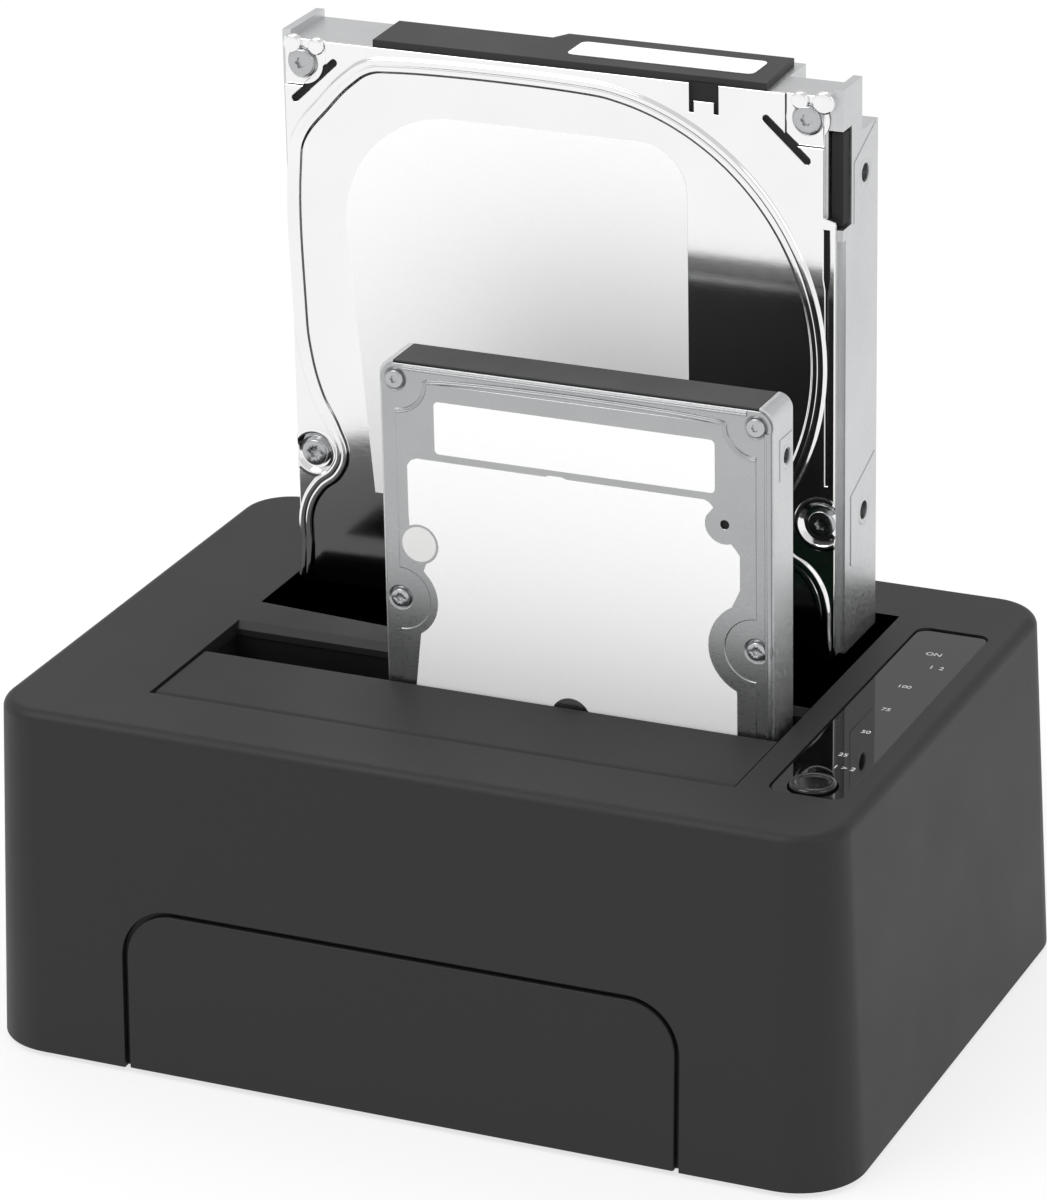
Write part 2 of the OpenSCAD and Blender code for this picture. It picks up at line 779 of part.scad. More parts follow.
// Drive socket: a body on the main board and a nose with slots for the plug's blades
module drive_socket(i) {
    floor_top = floor_z(i);
    nose_top = seat_z(i) + nose_h;
    translate([socket_x, socket_y(i), 0]) difference() {
        union() {
            box([-socket_body_l / 2, -socket_body_t / 2, board_top],
                [socket_body_l / 2, socket_body_t / 2, floor_top]);
            box([-nose_l / 2, -nose_t / 2, board_top], [nose_l / 2, nose_t / 2, nose_top]);
        }
        for (blade = blades) {
            half = blade[1] / 2 + slide_fit;
            box([blade[0] - half, -blade_slot / 2, floor_top],
                [blade[0] + half, blade_slot / 2, nose_top + past]);
        }
    }
}

module front_socket() {
    color(black_satin) drive_socket(0);
}

module rear_socket() {
    color(black_satin) drive_socket(1);
}

// Metal shell of the square data port
module usb_shell() {
    inner = usb_w / 2 - port_skin;
    color(steel) translate([usb_x, 0, board_top]) difference() {
        box([-usb_w / 2, port_y - usb_l, 0], [usb_w / 2, port_y, usb_h]);
        box([-inner, port_y - usb_l + port_skin, port_skin], [inner, port_y + past, usb_h - port_skin]);
    }
}

// Plastic insert of the data port: a frame with a tongue in the middle
module usb_tongue() {
    inner = usb_w / 2 - port_skin;
    mouth_back = 0.5;
    port_w = 8.6;
    port_h = 8;
    port_deep = 9;
    tongue_w = 5.6;
    tongue_h = 3.2;
    middle = usb_h / 2;
    color(black_satin) translate([usb_x, 0, board_top]) {
        difference() {
            box([-inner, port_y - usb_l + port_skin, port_skin],
                [inner, port_y - mouth_back, usb_h - port_skin]);
            box([-port_w / 2, port_y - port_deep, middle - port_h / 2],
                [port_w / 2, port_y + past, middle + port_h / 2]);
        }
        box([-tongue_w / 2, port_y - port_deep - past, middle - tongue_h / 2],
            [tongue_w / 2, port_y - 2 * mouth_back, middle + tongue_h / 2]);
    }
}

// Power inlet: a block with a round mouth
module dc_jack() {
    color(black_satin) difference() {
        box([dc_x - dc_w / 2, port_y - dc_l, board_top], [dc_x + dc_w / 2, port_y, board_top + dc_h]);
        translate([dc_x, port_y + past, board_top + dc_h / 2]) rotate([90, 0, 0])
            cylinder(r = dc_bore_r, h = dc_bore_l + past);
        translate([dc_x, port_y, board_top + dc_h / 2]) rotate([90, 0, 0])
            cylinder(r = dc_pin_r, h = dc_bore_l + dc_pin_root);
    }
}

// Contact pin in the middle of the power inlet
module dc_pin() {
    pin_short = 1.5;
    color(brass) translate([dc_x, port_y - pin_short, board_top + dc_h / 2]) rotate([90, 0, 0])
        cylinder(r = dc_pin_r, h = dc_bore_l + dc_pin_root - pin_short);
}

// Outer face of the rear wall where the power switch sits
function switch_face() = top_d / 2 + lean_out(switch_z + bezel_h / 2) + draft * bezel_h / dock_h;

// Frame of the power switch, clipped into the rear wall
module power_switch_frame() {
    face = switch_face();
    cavity_w = rocker_w + 2 * rocker_room;
    cavity_h = rocker_h + 2 * slide_fit;
    cavity_deep = 3.2;
    color(black_satin) translate([switch_x, face, switch_z]) difference() {
        union() {
            box([-bezel_w / 2, 0, -bezel_h / 2], [bezel_w / 2, bezel_t, bezel_h / 2]);
            box([-switch_body_w / 2, -switch_body_l, -switch_body_h / 2],
                [switch_body_w / 2, 0, switch_body_h / 2]);
        }
        box([-cavity_w / 2, -cavity_deep, -cavity_h / 2], [cavity_w / 2, bezel_t + past, cavity_h / 2]);
        translate([0, 0, -rocker_h / 2 - rocker_pin_l - slide_fit])
            cylinder(r = rocker_pin_r + turn_fit, h = rocker_h + 2 * (rocker_pin_l + slide_fit));
    }
}

// Rocker of the power switch, pressed in at one side
module power_rocker() {
    half = rocker_w / 2;
    inner = 1.1;
    wing = 1.8;
    waist = 1;
    color(black_gloss) translate([switch_x, switch_face(), switch_z]) rotate([0, 0, rocker_tilt]) {
        translate([0, 0, -rocker_h / 2]) linear_extrude(rocker_h)
            polygon([[-half, -inner], [half, -inner], [half, wing], [0, waist], [-half, wing]]);
        translate([0, 0, -rocker_h / 2 - rocker_pin_l])
            cylinder(r = rocker_pin_r, h = rocker_h + 2 * rocker_pin_l);
    }
}

// Large drive, in its own frame: x from the left side, y from the front face, z up from the plug end
large_seat = 1.5; // depth of the cast base's front face behind the front of the drive
large_bead = 0.5; // height of the raised beads on the cover
bead_root = 0.2; // how far the beads run down into a cover's sheet
large_screw_seat = 0.6; // depth of the screws' seats in the cover
large_screw_l = 5;
large_rim = 4; // rim around the hollow at the back
large_hollow = 3.4;
large_hollow_top = 91;
bead_w = 0.9;
bead_step = 2;
disc_x = 53;
disc_down = 48.5; // distance of the discs' middle from the free end
disc_r = large_w - disc_x - disc_edge;
disc_z = large_l - disc_down;
bite_r = 7;
screw_left = 3.9; // distances of the cover screws from the left side
top_screw_right = 6; // and from the right side
mid_screw_right = 3.4;
low_screw_right = 4.6;
top_screw_down = 5.3; // their distances from the free end
mid_screw_down = 76;
low_screw_up = 6; // and from the plug end
large_screw_spots = [
    [screw_left, large_l - top_screw_down], [large_w - top_screw_right, large_l - top_screw_down],
    [screw_left, large_l - mid_screw_down], [large_w - mid_screw_right, large_l - mid_screw_down],
    [screw_left, low_screw_up], [large_w - low_screw_right, low_screw_up]
];
cap_t = 1.4;
cap_x = 16.3;
cap_x_gap = 0.5; // from the cap's right end to the notch beside it
cap_back = 1.4; // from the cap's back edge to the back of what carries it
end_rib = 1.6; // ribs left standing at the sides of the free end
end_notch_h = 9.3; // height of the notches in the free end's back corners
left_notch_w = 45;
left_notch_d = 3;
right_notch_d = 7.5;
large_hole_r = 1.6;
large_hole_l = 4;
low_hole = 28.5; // standard heights of the side screw holes above the plug end
mid_hole = 70.1;
top_hole_down = 16.9; // and of the last one below the free end
large_holes = [low_hole, mid_hole, large_l - top_hole_down];
large_hole_back = 6.35; // standard distance of those holes from the back face

module on_large() {
    translate([large_x, large_y, large_z]) children();
}

// Space of a drive's plug block, in the drive's own frame. Its front wall thins where the cover is close.
module plug_space(drive_x, thick, seat, grow) {
    half_l = nose_l / 2 + slide_fit + plug_wall + grow;
    half_t = nose_t / 2 + slide_fit + plug_wall;
    middle = thick - plug_back;
    front = max(middle - half_t, seat + drop_fit);
    translate([socket_x - drive_x, 0, 0])
        box([-half_l, front - grow, grow > 0 ? -past : 0], [half_l, middle + half_t + grow, plug_body_h]);
}

// Plug block of a drive: a mouth with two blades that the socket's nose takes
module drive_plug(drive_x, thick, seat) {
    mouth_l = nose_l / 2 + slide_fit;
    mouth_t = nose_t / 2 + slide_fit;
    blade_short = 0.5;
    difference() {
        plug_space(drive_x, thick, seat, 0);
        translate([socket_x - drive_x, thick - plug_back, 0])
            box([-mouth_l, -mouth_t, -past], [mouth_l, mouth_t, plug_cavity]);
    }
    translate([socket_x - drive_x, thick - plug_back, 0]) for (blade = blades)
        box([blade[0] - blade[1] / 2, -blade_t / 2, blade_short],
            [blade[0] + blade[1] / 2, blade_t / 2, plug_cavity + past]);
}

// Cast base of the large drive
module large_drive_base() {
    groove_t = 1.4;
    groove_deep = 1.1;
    groove_down = 26;
    notch_deep = 2.6;
    notch_t = 4;
    notch_down = 7;
    notch_l = 17;
    notch_high = large_l - notch_down;
    color(cast_metal) on_large() difference() {
        box([0, large_seat, 0], [large_w, large_t, large_l]);
        box([end_rib, 0, large_l - cap_t], [large_w - end_rib, large_t + past, large_l + past]);
        box([-past, large_t - left_notch_d, large_l - end_notch_h],
            [left_notch_w, large_t + past, large_l + past]);
        box([cap_x + cap_w + cap_x_gap, large_t - right_notch_d, large_l - end_notch_h],
            [large_w + past, large_t + past, large_l + past]);
        for (side = [0, 1]) translate([side * large_w, 0, 0]) mirror([side, 0, 0])
            box([-past, large_seat - past, -past],
                [groove_deep, large_seat + groove_t, large_l - groove_down]);
        box([large_w - notch_deep, large_seat - past, notch_high - notch_l],
            [large_w + past, large_seat + notch_t, notch_high]);
        box([large_rim, large_t - large_hollow, plug_body_h],
            [large_w - large_rim, large_t + past, large_hollow_top]);
        for (z = large_holes) translate([0, large_t - large_hole_back, z]) {
            rod_x(large_hole_r, -past, large_hole_l);
            rod_x(large_hole_r, large_w - large_hole_l, large_w + past);
        }
        for (spot = large_screw_spots) translate([spot[0], large_seat, spot[1]]) rotate([-90, 0, 0])
            translate([0, 0, -past]) cylinder(r = small_screw_r + turn_fit, h = large_screw_l + past);
        plug_space(large_x, large_t, large_seat, drop_fit);
    }
}

// Area inside the bead on the large cover: the round over the discs, the left side and the lower part
module large_bead_area(inset) {
    side = 2.4;
    top = 3.6;
    low = 9;
    chamfer_x = 17;
    chamfer_z = 22;
    shoulder = 84;
    difference() {
        union() {
            translate([disc_x, disc_z]) circle(r = disc_r - inset);
            polygon([[side + inset, low + inset], [side + inset, large_l - chamfer_z - inset * 0.4],
                [chamfer_x + inset * 0.4, large_l - top - inset], [disc_x, large_l - top - inset],
                [disc_x, low + inset]]);
            translate([disc_x - past, low + inset])
                square([large_w - side - inset - disc_x + past, large_l - shoulder - inset - low - inset]);
        }
        for (i = [2, 3]) translate(large_screw_spots[i]) circle(r = bite_r + inset);
    }
}

// Pressed cover of the large drive, with twin beads, screw seats and two slanted slots
module large_drive_cover() {
    edge = 1;
    left_edge = 0.4;
    seat_r = 4;
    slot_l = 8.6;
    slot_w = 1.1;
    notch_w = 4;
    notch_h = 4.6;
    notch_side = 21.7;
    notch_x = large_w - notch_side - notch_w;
    slot_left = 6.9;
    slot_right = 9.4;
    slot_down = 8.5;
    slots = [[slot_left, 45], [large_w - slot_right, -45]];
    color(steel) on_large() difference() {
        union() {
            box([left_edge, large_bead, edge], [large_w - edge, large_seat, large_l - edge]);
            for (i = [0, 1]) upright(0, large_bead + bead_root) difference() {
                large_bead_area(i * bead_step);
                large_bead_area(i * bead_step + bead_w);
            }
        }
        for (spot = large_screw_spots) translate([spot[0], large_bead, spot[1]]) rotate([-90, 0, 0]) {
            translate([0, 0, -past]) cylinder(r = seat_r, h = large_screw_seat + past);
            translate([0, 0, -past]) cylinder(r = small_screw_r + slide_fit, h = large_seat + 2 * past);
        }
        for (slot = slots) translate([slot[0], large_bead, large_l - slot_down]) rotate([0, -slot[1], 0])
            cube([slot_l, large_seat * 2, slot_w], center = true);
        box([notch_x, -past, large_l - notch_h], [notch_x + notch_w, large_seat + past, large_l + past]);
    }
}

module large_drive_screws() {
    head_r = 2.6;
    head_h = 0.9;
    seat = large_bead + large_screw_seat;
    color(steel) on_large() for (spot = large_screw_spots)
        translate([spot[0], seat, spot[1]]) rotate([90, 0, 0])
            screw(small_screw_r, large_screw_l, head_r, head_h);
}

// Printed label of the large drive, with a leaning left edge, a slanted corner and a round one
module large_drive_label() {
    high_left = 11.4; // distance of its left edge from the drive's side, at the slanted corner
    low_left = screw_left + bite_r + bead_step + bead_w + 4 * label_gap; // and at the lower edge
    right_edge = 27;
    round = 9;
    slant_w = 18.1;
    slant_h = 15;
    down = 12.4;
    tall = 69.6;
    right = large_w - right_edge;
    top = large_l - down;
    low = top - tall;
    lean = (low_left - high_left) / (tall - slant_h);
    color(label_white) on_large() upright(large_bead - label_t, large_bead) difference() {
        union() {
            translate([0, low]) square([right, tall - round]);
            translate([0, low]) square([right - round, tall]);
            translate([right - round, top - round]) circle(r = round);
        }
        polygon([[-past, low - past], [low_left + lean * past, low - past], [high_left, top - slant_h],
            [high_left + slant_w * (1 + past / slant_h), top + past], [-past, top + past]]);
    }
}

// Black cap on the free end of the large drive
module large_drive_end_cap() {
    back = large_t - cap_back;
    color(black_satin) on_large() difference() {
        box([cap_x, large_seat, large_l - cap_t], [cap_x + cap_w, back, large_l - label_t]);
        box([cap_x - past, back - left_notch_d, large_l - cap_t - past],
            [left_notch_w, back + past, large_l + past]);
    }
}

module large_drive_end_label() {
    right_edge = 4;
    back_edge = 5.2;
    label_l = 33.5;
    label_w = 7.4;
    right = cap_x + cap_w - right_edge;
    back = large_t - back_edge;
    color(label_white) on_large()
        box([right - label_l, back - label_w, large_l - label_t], [right, back, large_l]);
}

// Circuit board in the hollow at the back of the large drive
module large_drive_board() {
    thick = 1.2;
    rim = large_rim + drop_fit;
    back = large_t - large_hollow;
    color(board_green) on_large()
        box([rim, back, plug_body_h + drop_fit], [large_w - rim, back + thick, large_hollow_top - drop_fit]);
}

module large_drive_plug() {
    color(black_satin) on_large() drive_plug(large_x, large_t, large_seat);
}

// Small drive, in its own frame: x from the left side, y from the front face, z up from the plug end
small_seat = 1;
small_bead = 0.35;
small_bead_w = 0.6;
small_bead_step = 1.8;
small_bead_side = 1; // distance of the outer bead from the drive's sides
small_bite = 4.3; // radius of the outer bead's bend round a screw
small_corner = 2.5;
small_screw_seat = 0.35; // depth of the screws' seats in the cover
fine_screw_r = 0.65;
fine_screw_l = 3.5;
small_rim = 2.6; // rim around the hollow at the back
small_hollow = 2.4;
small_hollow_top = 55;
small_end_t = 0.6; // thickness of the black strip on the free end
fine_screw_side = 2.9; // distance of the cover screws from the sides
fine_top_down = 3.2; // their distances from the free end
fine_mid_down = 42.2;
fine_low_up = 4;
small_screw_spots = [for (down = [fine_top_down, fine_mid_down, small_l - fine_low_up],
    x = [fine_screw_side, small_w - fine_screw_side]) [x, small_l - down]];
small_hole_r = 1.25;
small_hole_l = 3;
small_low_hole = 14; // standard height of the lower side screw hole above the plug end
small_hole_down = 9.7; // and of the upper one below the free end
small_holes = [small_low_hole, small_l - small_hole_down];
small_hole_back = 3; // standard distance of those holes from the back face
breather_side = 8.2;
breather_down = 20.5;
breather_spot = [small_w - breather_side, small_l - breather_down];
seal_side = 6.7;
seal_down = 31.8;
seal_spot = [seal_side, small_l - seal_down];
seal_r = 3.1;

module on_small() {
    translate([small_x, small_y, small_z]) children();
}

// Outline of the small drive's front, with round corners, drawn in by an inset
module small_outline(inset) {
    translate([small_w / 2, small_l / 2])
        rounded_plate(small_w - 2 * inset, small_l - 2 * inset, small_corner);
}

// Cast base of the small drive
module small_drive_base() {
    color(cast_metal) on_small() difference() {
        upright(small_seat, small_t) small_outline(0);
        box([small_corner, small_seat - past, small_l - small_end_t],
            [small_w - small_corner, small_t + past, small_l + past]);
        box([small_rim, small_t - small_hollow, plug_body_h],
            [small_w - small_rim, small_t + past, small_hollow_top]);
        for (z = small_holes) translate([0, small_t - small_hole_back, z]) {
            rod_x(small_hole_r, -past, small_hole_l);
            rod_x(small_hole_r, small_w - small_hole_l, small_w + past);
        }
        for (spot = small_screw_spots) translate([spot[0], small_seat, spot[1]]) rotate([-90, 0, 0])
            translate([0, 0, -past]) cylinder(r = fine_screw_r + turn_fit, h = fine_screw_l + past);
        plug_space(small_x, small_t, small_seat, drop_fit);
    }
}

// Area inside the bead on the small cover, cut round the screws
module small_bead_area(inset) {
    side = small_bead_side + inset;
    difference() {
        translate([side, side]) square([small_w - 2 * side, small_l - 2 * side]);
        for (spot = small_screw_spots) translate(spot) circle(r = small_bite + inset);
    }
}

// Pressed cover of the small drive
module small_drive_cover() {
    edge = 0.4;
    seat_r = 2.3;
    breather_r = 0.9;
    color(steel) on_small() difference() {
        union() {
            upright(small_bead, small_seat) small_outline(edge);
            for (i = [0, 1]) upright(0, small_bead + bead_root) difference() {
                small_bead_area(i * small_bead_step);
                small_bead_area(i * small_bead_step + small_bead_w);
            }
        }
        for (spot = small_screw_spots) translate([spot[0], small_bead, spot[1]]) rotate([-90, 0, 0]) {
            translate([0, 0, -past]) cylinder(r = seat_r, h = small_screw_seat + past);
            translate([0, 0, -past]) cylinder(r = fine_screw_r + slide_fit, h = small_seat + 2 * past);
        }
        translate([breather_spot[0], small_bead, breather_spot[1]]) rotate([-90, 0, 0])
            translate([0, 0, -past]) cylinder(r = breather_r, h = small_screw_seat + past);
    }
}

module small_drive_screws() {
    head_r = 1.7;
    head_h = 0.6;
    seat = small_bead + small_screw_seat;
    color(steel) on_small() for (spot = small_screw_spots)
        translate([spot[0], seat, spot[1]]) rotate([90, 0, 0])
            screw(fine_screw_r, fine_screw_l, head_r, head_h);
}

// Main label of the small drive, cut round the screws, the breather hole, the seal and the hub
module small_drive_label() {
    side = 6.3;
    down = 16.5;
    tall = 49.5;
    hub_off = 1;
    hub_down = 60;
    hub_r = 5.2;
    screw_bite = small_bite + small_bead_step + small_bead_w + label_gap;
    breather_bite = 3.4;
    seal_bite = seal_r + 1;
    hub = [small_w / 2 - hub_off, small_l - hub_down];
    low = small_l - down - tall;
    bites = [[breather_spot, breather_bite], [seal_spot, seal_bite], [small_screw_spots[2], screw_bite],
        [small_screw_spots[3], screw_bite], [hub, hub_r]];
    color(label_white) on_small() upright(small_bead - label_t, small_bead) difference() {
        translate([side, low]) square([small_w - 2 * side, tall]);
        for (bite = bites) translate(bite[0]) circle(r = bite[1]);
    }
}

module small_drive_top_label() {
    side = 10;
    low = 15; // distance of its lower edge from the free end
    tall = 9;
    color(label_white) on_small() upright(small_bead - label_t, small_bead)
        translate([side, small_l - low]) square([small_w - 2 * side, tall]);
}

// Round seal on the small drive's cover
module small_drive_seal() {
    color(label_white) on_small() upright(small_bead - label_t, small_bead)
        translate(seal_spot) circle(r = seal_r);
}

// Black strip on the free end of the small drive
module small_drive_end_cap() {
    color(black_satin) on_small()
        box([small_corner, small_seat, small_l - small_end_t], [small_w - small_corner, small_t, small_l]);
}

// Circuit board in the hollow at the back of the small drive
module small_drive_board() {
    thick = 1;
    rim = small_rim + drop_fit;
    back = small_t - small_hollow;
    color(board_green) on_small()
        box([rim, back, plug_body_h + drop_fit], [small_w - rim, back + thick, small_hollow_top - drop_fit]);
}

module small_drive_plug() {
    color(black_satin) on_small() drive_plug(small_x, small_t, small_seat);
}

housing();
base_plate();
front_panel();
rubber_feet();
base_screws();
front_bay_liner();
rear_bay_liner();
front_door();
front_door_pins();
front_door_springs();
rear_door();
rear_door_pins();
rear_door_springs();
control_strip();
copy_button();
switch_plunger();
switch_body();
indicator_board();
indicator_lights();
light_guides();
indicator_screws();
main_board();
board_chips();
board_capacitors();
board_screws();
front_socket();
rear_socket();
usb_shell();
usb_tongue();
dc_jack();
dc_pin();
power_switch_frame();
power_rocker();
large_drive_base();
large_drive_cover();
large_drive_screws();
large_drive_label();
large_drive_end_cap();
large_drive_end_label();
large_drive_board();
large_drive_plug();
small_drive_base();
small_drive_cover();
small_drive_screws();
small_drive_label();
small_drive_top_label();
small_drive_seal();
small_drive_end_cap();
small_drive_board();
small_drive_plug();
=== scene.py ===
# Docking station with two docked drives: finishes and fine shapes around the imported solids.
import math

import bmesh
import bpy
import numpy as np
from mathutils import Matrix, Vector


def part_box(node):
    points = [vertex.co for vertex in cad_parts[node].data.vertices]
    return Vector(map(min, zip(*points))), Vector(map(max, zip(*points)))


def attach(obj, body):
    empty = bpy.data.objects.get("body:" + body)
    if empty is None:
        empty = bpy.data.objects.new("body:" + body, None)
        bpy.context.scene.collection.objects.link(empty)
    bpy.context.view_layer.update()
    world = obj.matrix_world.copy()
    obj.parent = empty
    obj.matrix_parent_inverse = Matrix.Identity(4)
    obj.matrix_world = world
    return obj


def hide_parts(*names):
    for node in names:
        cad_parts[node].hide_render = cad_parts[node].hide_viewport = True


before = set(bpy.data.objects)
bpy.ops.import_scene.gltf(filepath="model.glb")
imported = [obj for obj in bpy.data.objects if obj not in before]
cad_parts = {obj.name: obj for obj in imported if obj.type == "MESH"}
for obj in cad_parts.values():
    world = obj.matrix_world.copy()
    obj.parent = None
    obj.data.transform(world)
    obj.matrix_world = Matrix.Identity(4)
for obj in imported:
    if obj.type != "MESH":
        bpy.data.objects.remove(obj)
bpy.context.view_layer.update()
scene = bpy.context.scene
scene.view_settings.view_transform = "Standard"
mm = 0.001
mergeWithin = 0.002 * mm
# Largest bends, in degrees, that are shaded smooth
smoothing = {"turned": 40, "plate": 14, "bead": 50, "coil": 60}
print("frame loaded, nodes:", len(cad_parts))


# Small helpers for colours, nodes and meshes

def toLinear(hexColour):
    parts = [int(hexColour[i:i + 2], 16) / 255 for i in (1, 3, 5)]
    return tuple(c / 12.92 if c <= 0.04045 else ((c + 0.055) / 1.055) ** 2.4 for c in parts) + (1.0,)


def addNode(tree, kind, inputs=None, **settings):
    node = tree.nodes.new(kind)
    for name, value in settings.items():
        setattr(node, name, value)
    for key, value in (inputs or {}).items():
        if isinstance(value, bpy.types.NodeSocket):
            tree.links.new(value, node.inputs[key])
        else:
            node.inputs[key].default_value = value
    return node


def startMaterial(name, constants):
    material = bpy.data.materials.new(name)
    material.use_nodes = True
    tree = material.node_tree
    shader = tree.nodes["Principled BSDF"]
    for key, value in constants.items():
        shader.inputs[key].default_value = value
    coord = addNode(tree, "ShaderNodeTexCoord").outputs["Object"]
    return material, tree, shader, coord


def noise(tree, coord, size, detail):
    return addNode(tree, "ShaderNodeTexNoise", {
        "Vector": coord, "Scale": 1 / (size * mm), "Detail": detail}).outputs[0]


# Colour that wanders between two tones
def mottle(tree, shader, factor, dark, light):
    tint = addNode(tree, "ShaderNodeMix", {"Factor": factor, "A": toLinear(dark), "B": toLinear(light)},
                   data_type="RGBA")
    tree.links.new(tint.outputs["Result"], shader.inputs["Base Color"])


# Roughness that wanders to both sides of its middle
def unevenGloss(tree, shader, value, rough, span):
    gloss = addNode(tree, "ShaderNodeMapRange", {
        "Value": value, "From Min": 0.3, "From Max": 0.7, "To Min": rough - span, "To Max": rough + span})
    tree.links.new(gloss.outputs[0], shader.inputs["Roughness"])


def relief(tree, shader, height, strength, depth):
    bump = addNode(tree, "ShaderNodeBump", {"Height": height, "Strength": strength, "Distance": depth * mm})
    tree.links.new(bump.outputs[0], shader.inputs["Normal"])


def linkPiece(name, mesh, *finishes):
    piece = bpy.data.objects.new(name, mesh)
    scene.collection.objects.link(piece)
    if finishes:
        mesh.materials.clear()
    for finish in finishes:
        mesh.materials.append(finish)
    return piece


def plainMesh(source, name):
    bpy.context.view_layer.update()
    shape = source.evaluated_get(bpy.context.evaluated_depsgraph_get())
    mesh = bpy.data.meshes.new_from_object(shape)
    mesh.name = name
    bpy.data.objects.remove(source)
    return mesh


def settle(piece, body, slot, *nodes):
    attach(piece, body)
    if nodes:
        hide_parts(*nodes)
    return piece


def smoothBy(mesh, degrees):
    mesh.polygons.foreach_set("use_smooth", [True] * len(mesh.polygons))
    shape = bmesh.new()
    shape.from_mesh(mesh)
    limit = math.radians(degrees)
    for edge in shape.edges:
        edge.smooth = len(edge.link_faces) == 2 and edge.calc_face_angle(math.pi) < limit
    shape.to_mesh(mesh)
    shape.free()


def joinMeshes(name, meshes):
    shape = bmesh.new()
    for mesh in meshes:
        shape.from_mesh(mesh)
    joined = bpy.data.meshes.new(name)
    shape.to_mesh(joined)
    shape.free()
    joined.update()
    return joined


# A node's solid with faces within level degrees merged and edges over sharp degrees rounded
def roundedCopy(node, name, radius, steps=2, sharp=34, level=0.6):
    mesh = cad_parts[node].data.copy()
    mesh.name = name
    shape = bmesh.new()
    shape.from_mesh(mesh)
    bmesh.ops.remove_doubles(shape, verts=shape.verts, dist=mergeWithin)
    bmesh.ops.dissolve_limit(shape, angle_limit=math.radians(level), verts=shape.verts, edges=shape.edges)
    shape.to_mesh(mesh)
    shape.free()
    mesh.polygons.foreach_set("use_smooth", [True] * len(mesh.polygons))
    source = linkPiece(name + "_source", mesh)
    bevel = source.modifiers.new("round", "BEVEL")
    bevel.width = radius * mm
    bevel.segments = steps
    bevel.limit_method = "ANGLE"
    bevel.angle_limit = math.radians(sharp)
    bevel.use_clamp_overlap = True
    bevel.miter_outer = "MITER_ARC"
    flat = source.modifiers.new("flat", "WEIGHTED_NORMAL")  # large faces stay flat beside their rounded edges
    flat.mode = "FACE_AREA"
    flat.weight = 100
    return plainMesh(source, name)


# Rings of (radius, height, lobe depth) turned round an axis; six lobes where a depth is given
def turned(name, rings, steps=48, lobes=6, hollow=False):
    shape = bmesh.new()
    loops = []
    for ring in rings:
        radius, height = ring[0], ring[1]
        depth = ring[2] if len(ring) > 2 else 0
        if radius == 0:
            loops.append([shape.verts.new((0, 0, height * mm))])
            continue
        loop = []
        for k in range(steps):
            angle = 2 * math.pi * k / steps
            r = (radius + depth * math.cos(lobes * angle)) * mm
            loop.append(shape.verts.new((r * math.cos(angle), r * math.sin(angle), height * mm)))
        loops.append(loop)
    if hollow:
        loops.append(loops[0])
    for low, high in zip(loops, loops[1:]):
        for k in range(steps):
            n = (k + 1) % steps
            corners = [low[k % len(low)], low[n % len(low)], high[n % len(high)], high[k % len(high)]]
            shape.faces.new(list(dict.fromkeys(corners)))
    for loop in (loops[0], loops[-1]):
        if len(loop) > 1 and not hollow:
            shape.faces.new(loop)
    bmesh.ops.recalc_face_normals(shape, faces=shape.faces)
    mesh = bpy.data.meshes.new(name)
    shape.to_mesh(mesh)
    shape.free()
    smoothBy(mesh, smoothing["turned"])
    return mesh


# A flat plate from outlines in millimetres, with rounded edges; later outlines are holes
def flatPlate(name, outlines, thick, edge=0.0, steps=1):
    curve = bpy.data.curves.new(name, "CURVE")
    curve.dimensions = "2D"
    curve.fill_mode = "BOTH"
    curve.extrude = (thick / 2 - edge) * mm
    curve.bevel_depth = edge * mm
    curve.bevel_resolution = steps
    curve.offset = -edge * mm
    for outline in outlines:
        spline = curve.splines.new("POLY")
        spline.points.add(len(outline) - 1)
        for point, spot in zip(spline.points, outline):
            point.co = (spot[0] * mm, spot[1] * mm, 0, 1)
        spline.use_cyclic_u = True
    source = bpy.data.objects.new(name + "_source", curve)
    scene.collection.objects.link(source)
    mesh = plainMesh(source, name)
    shape = bmesh.new()
    shape.from_mesh(mesh)
    bmesh.ops.remove_doubles(shape, verts=shape.verts, dist=mergeWithin)
    bmesh.ops.recalc_face_normals(shape, faces=shape.faces)
    shape.to_mesh(mesh)
    shape.free()
    smoothBy(mesh, smoothing["plate"])
    return mesh


def arc(cx, cy, radius, start, end, count=12):
    angles = np.radians(np.linspace(start, end, count))
    return [(cx + radius * math.cos(a), cy + radius * math.sin(a)) for a in angles]


def circle(x, y, radius, count):
    return arc(x, y, radius, 0, 360 - 360 / count, count)


def roundedBox(x0, y0, x1, y1, radius, count=6):
    corners = [(x1 - radius, y1 - radius, 0), (x0 + radius, y1 - radius, 90),
               (x0 + radius, y0 + radius, 180), (x1 - radius, y0 + radius, 270)]
    return [spot for cx, cy, a in corners for spot in arc(cx, cy, radius, a, a + 90, count)]


# Turns the drawing plane up, so that its Z faces the front, and moves it to a corner
def standUp(mesh, corner, y=0.0):
    turn = Matrix(((1, 0, 0, 0), (0, 0, -1, 0), (0, 1, 0, 0), (0, 0, 0, 1)))
    mesh.transform(Matrix.Translation(Vector(corner) + Vector((0, y * mm, 0))) @ turn)
    return mesh


# Keeps the part of a mesh on one side of an upright plane and closes the cut
def trimSide(mesh, x, keepBelow):
    shape = bmesh.new()
    shape.from_mesh(mesh)
    geometry = shape.verts[:] + shape.edges[:] + shape.faces[:]
    bmesh.ops.bisect_plane(shape, geom=geometry, plane_co=(x, 0, 0), plane_no=(1 if keepBelow else -1, 0, 0),
                           clear_outer=True)
    bmesh.ops.holes_fill(shape, edges=[e for e in shape.edges if e.is_boundary])
    shape.to_mesh(mesh)
    shape.free()
    return mesh


# Geometry Nodes trees

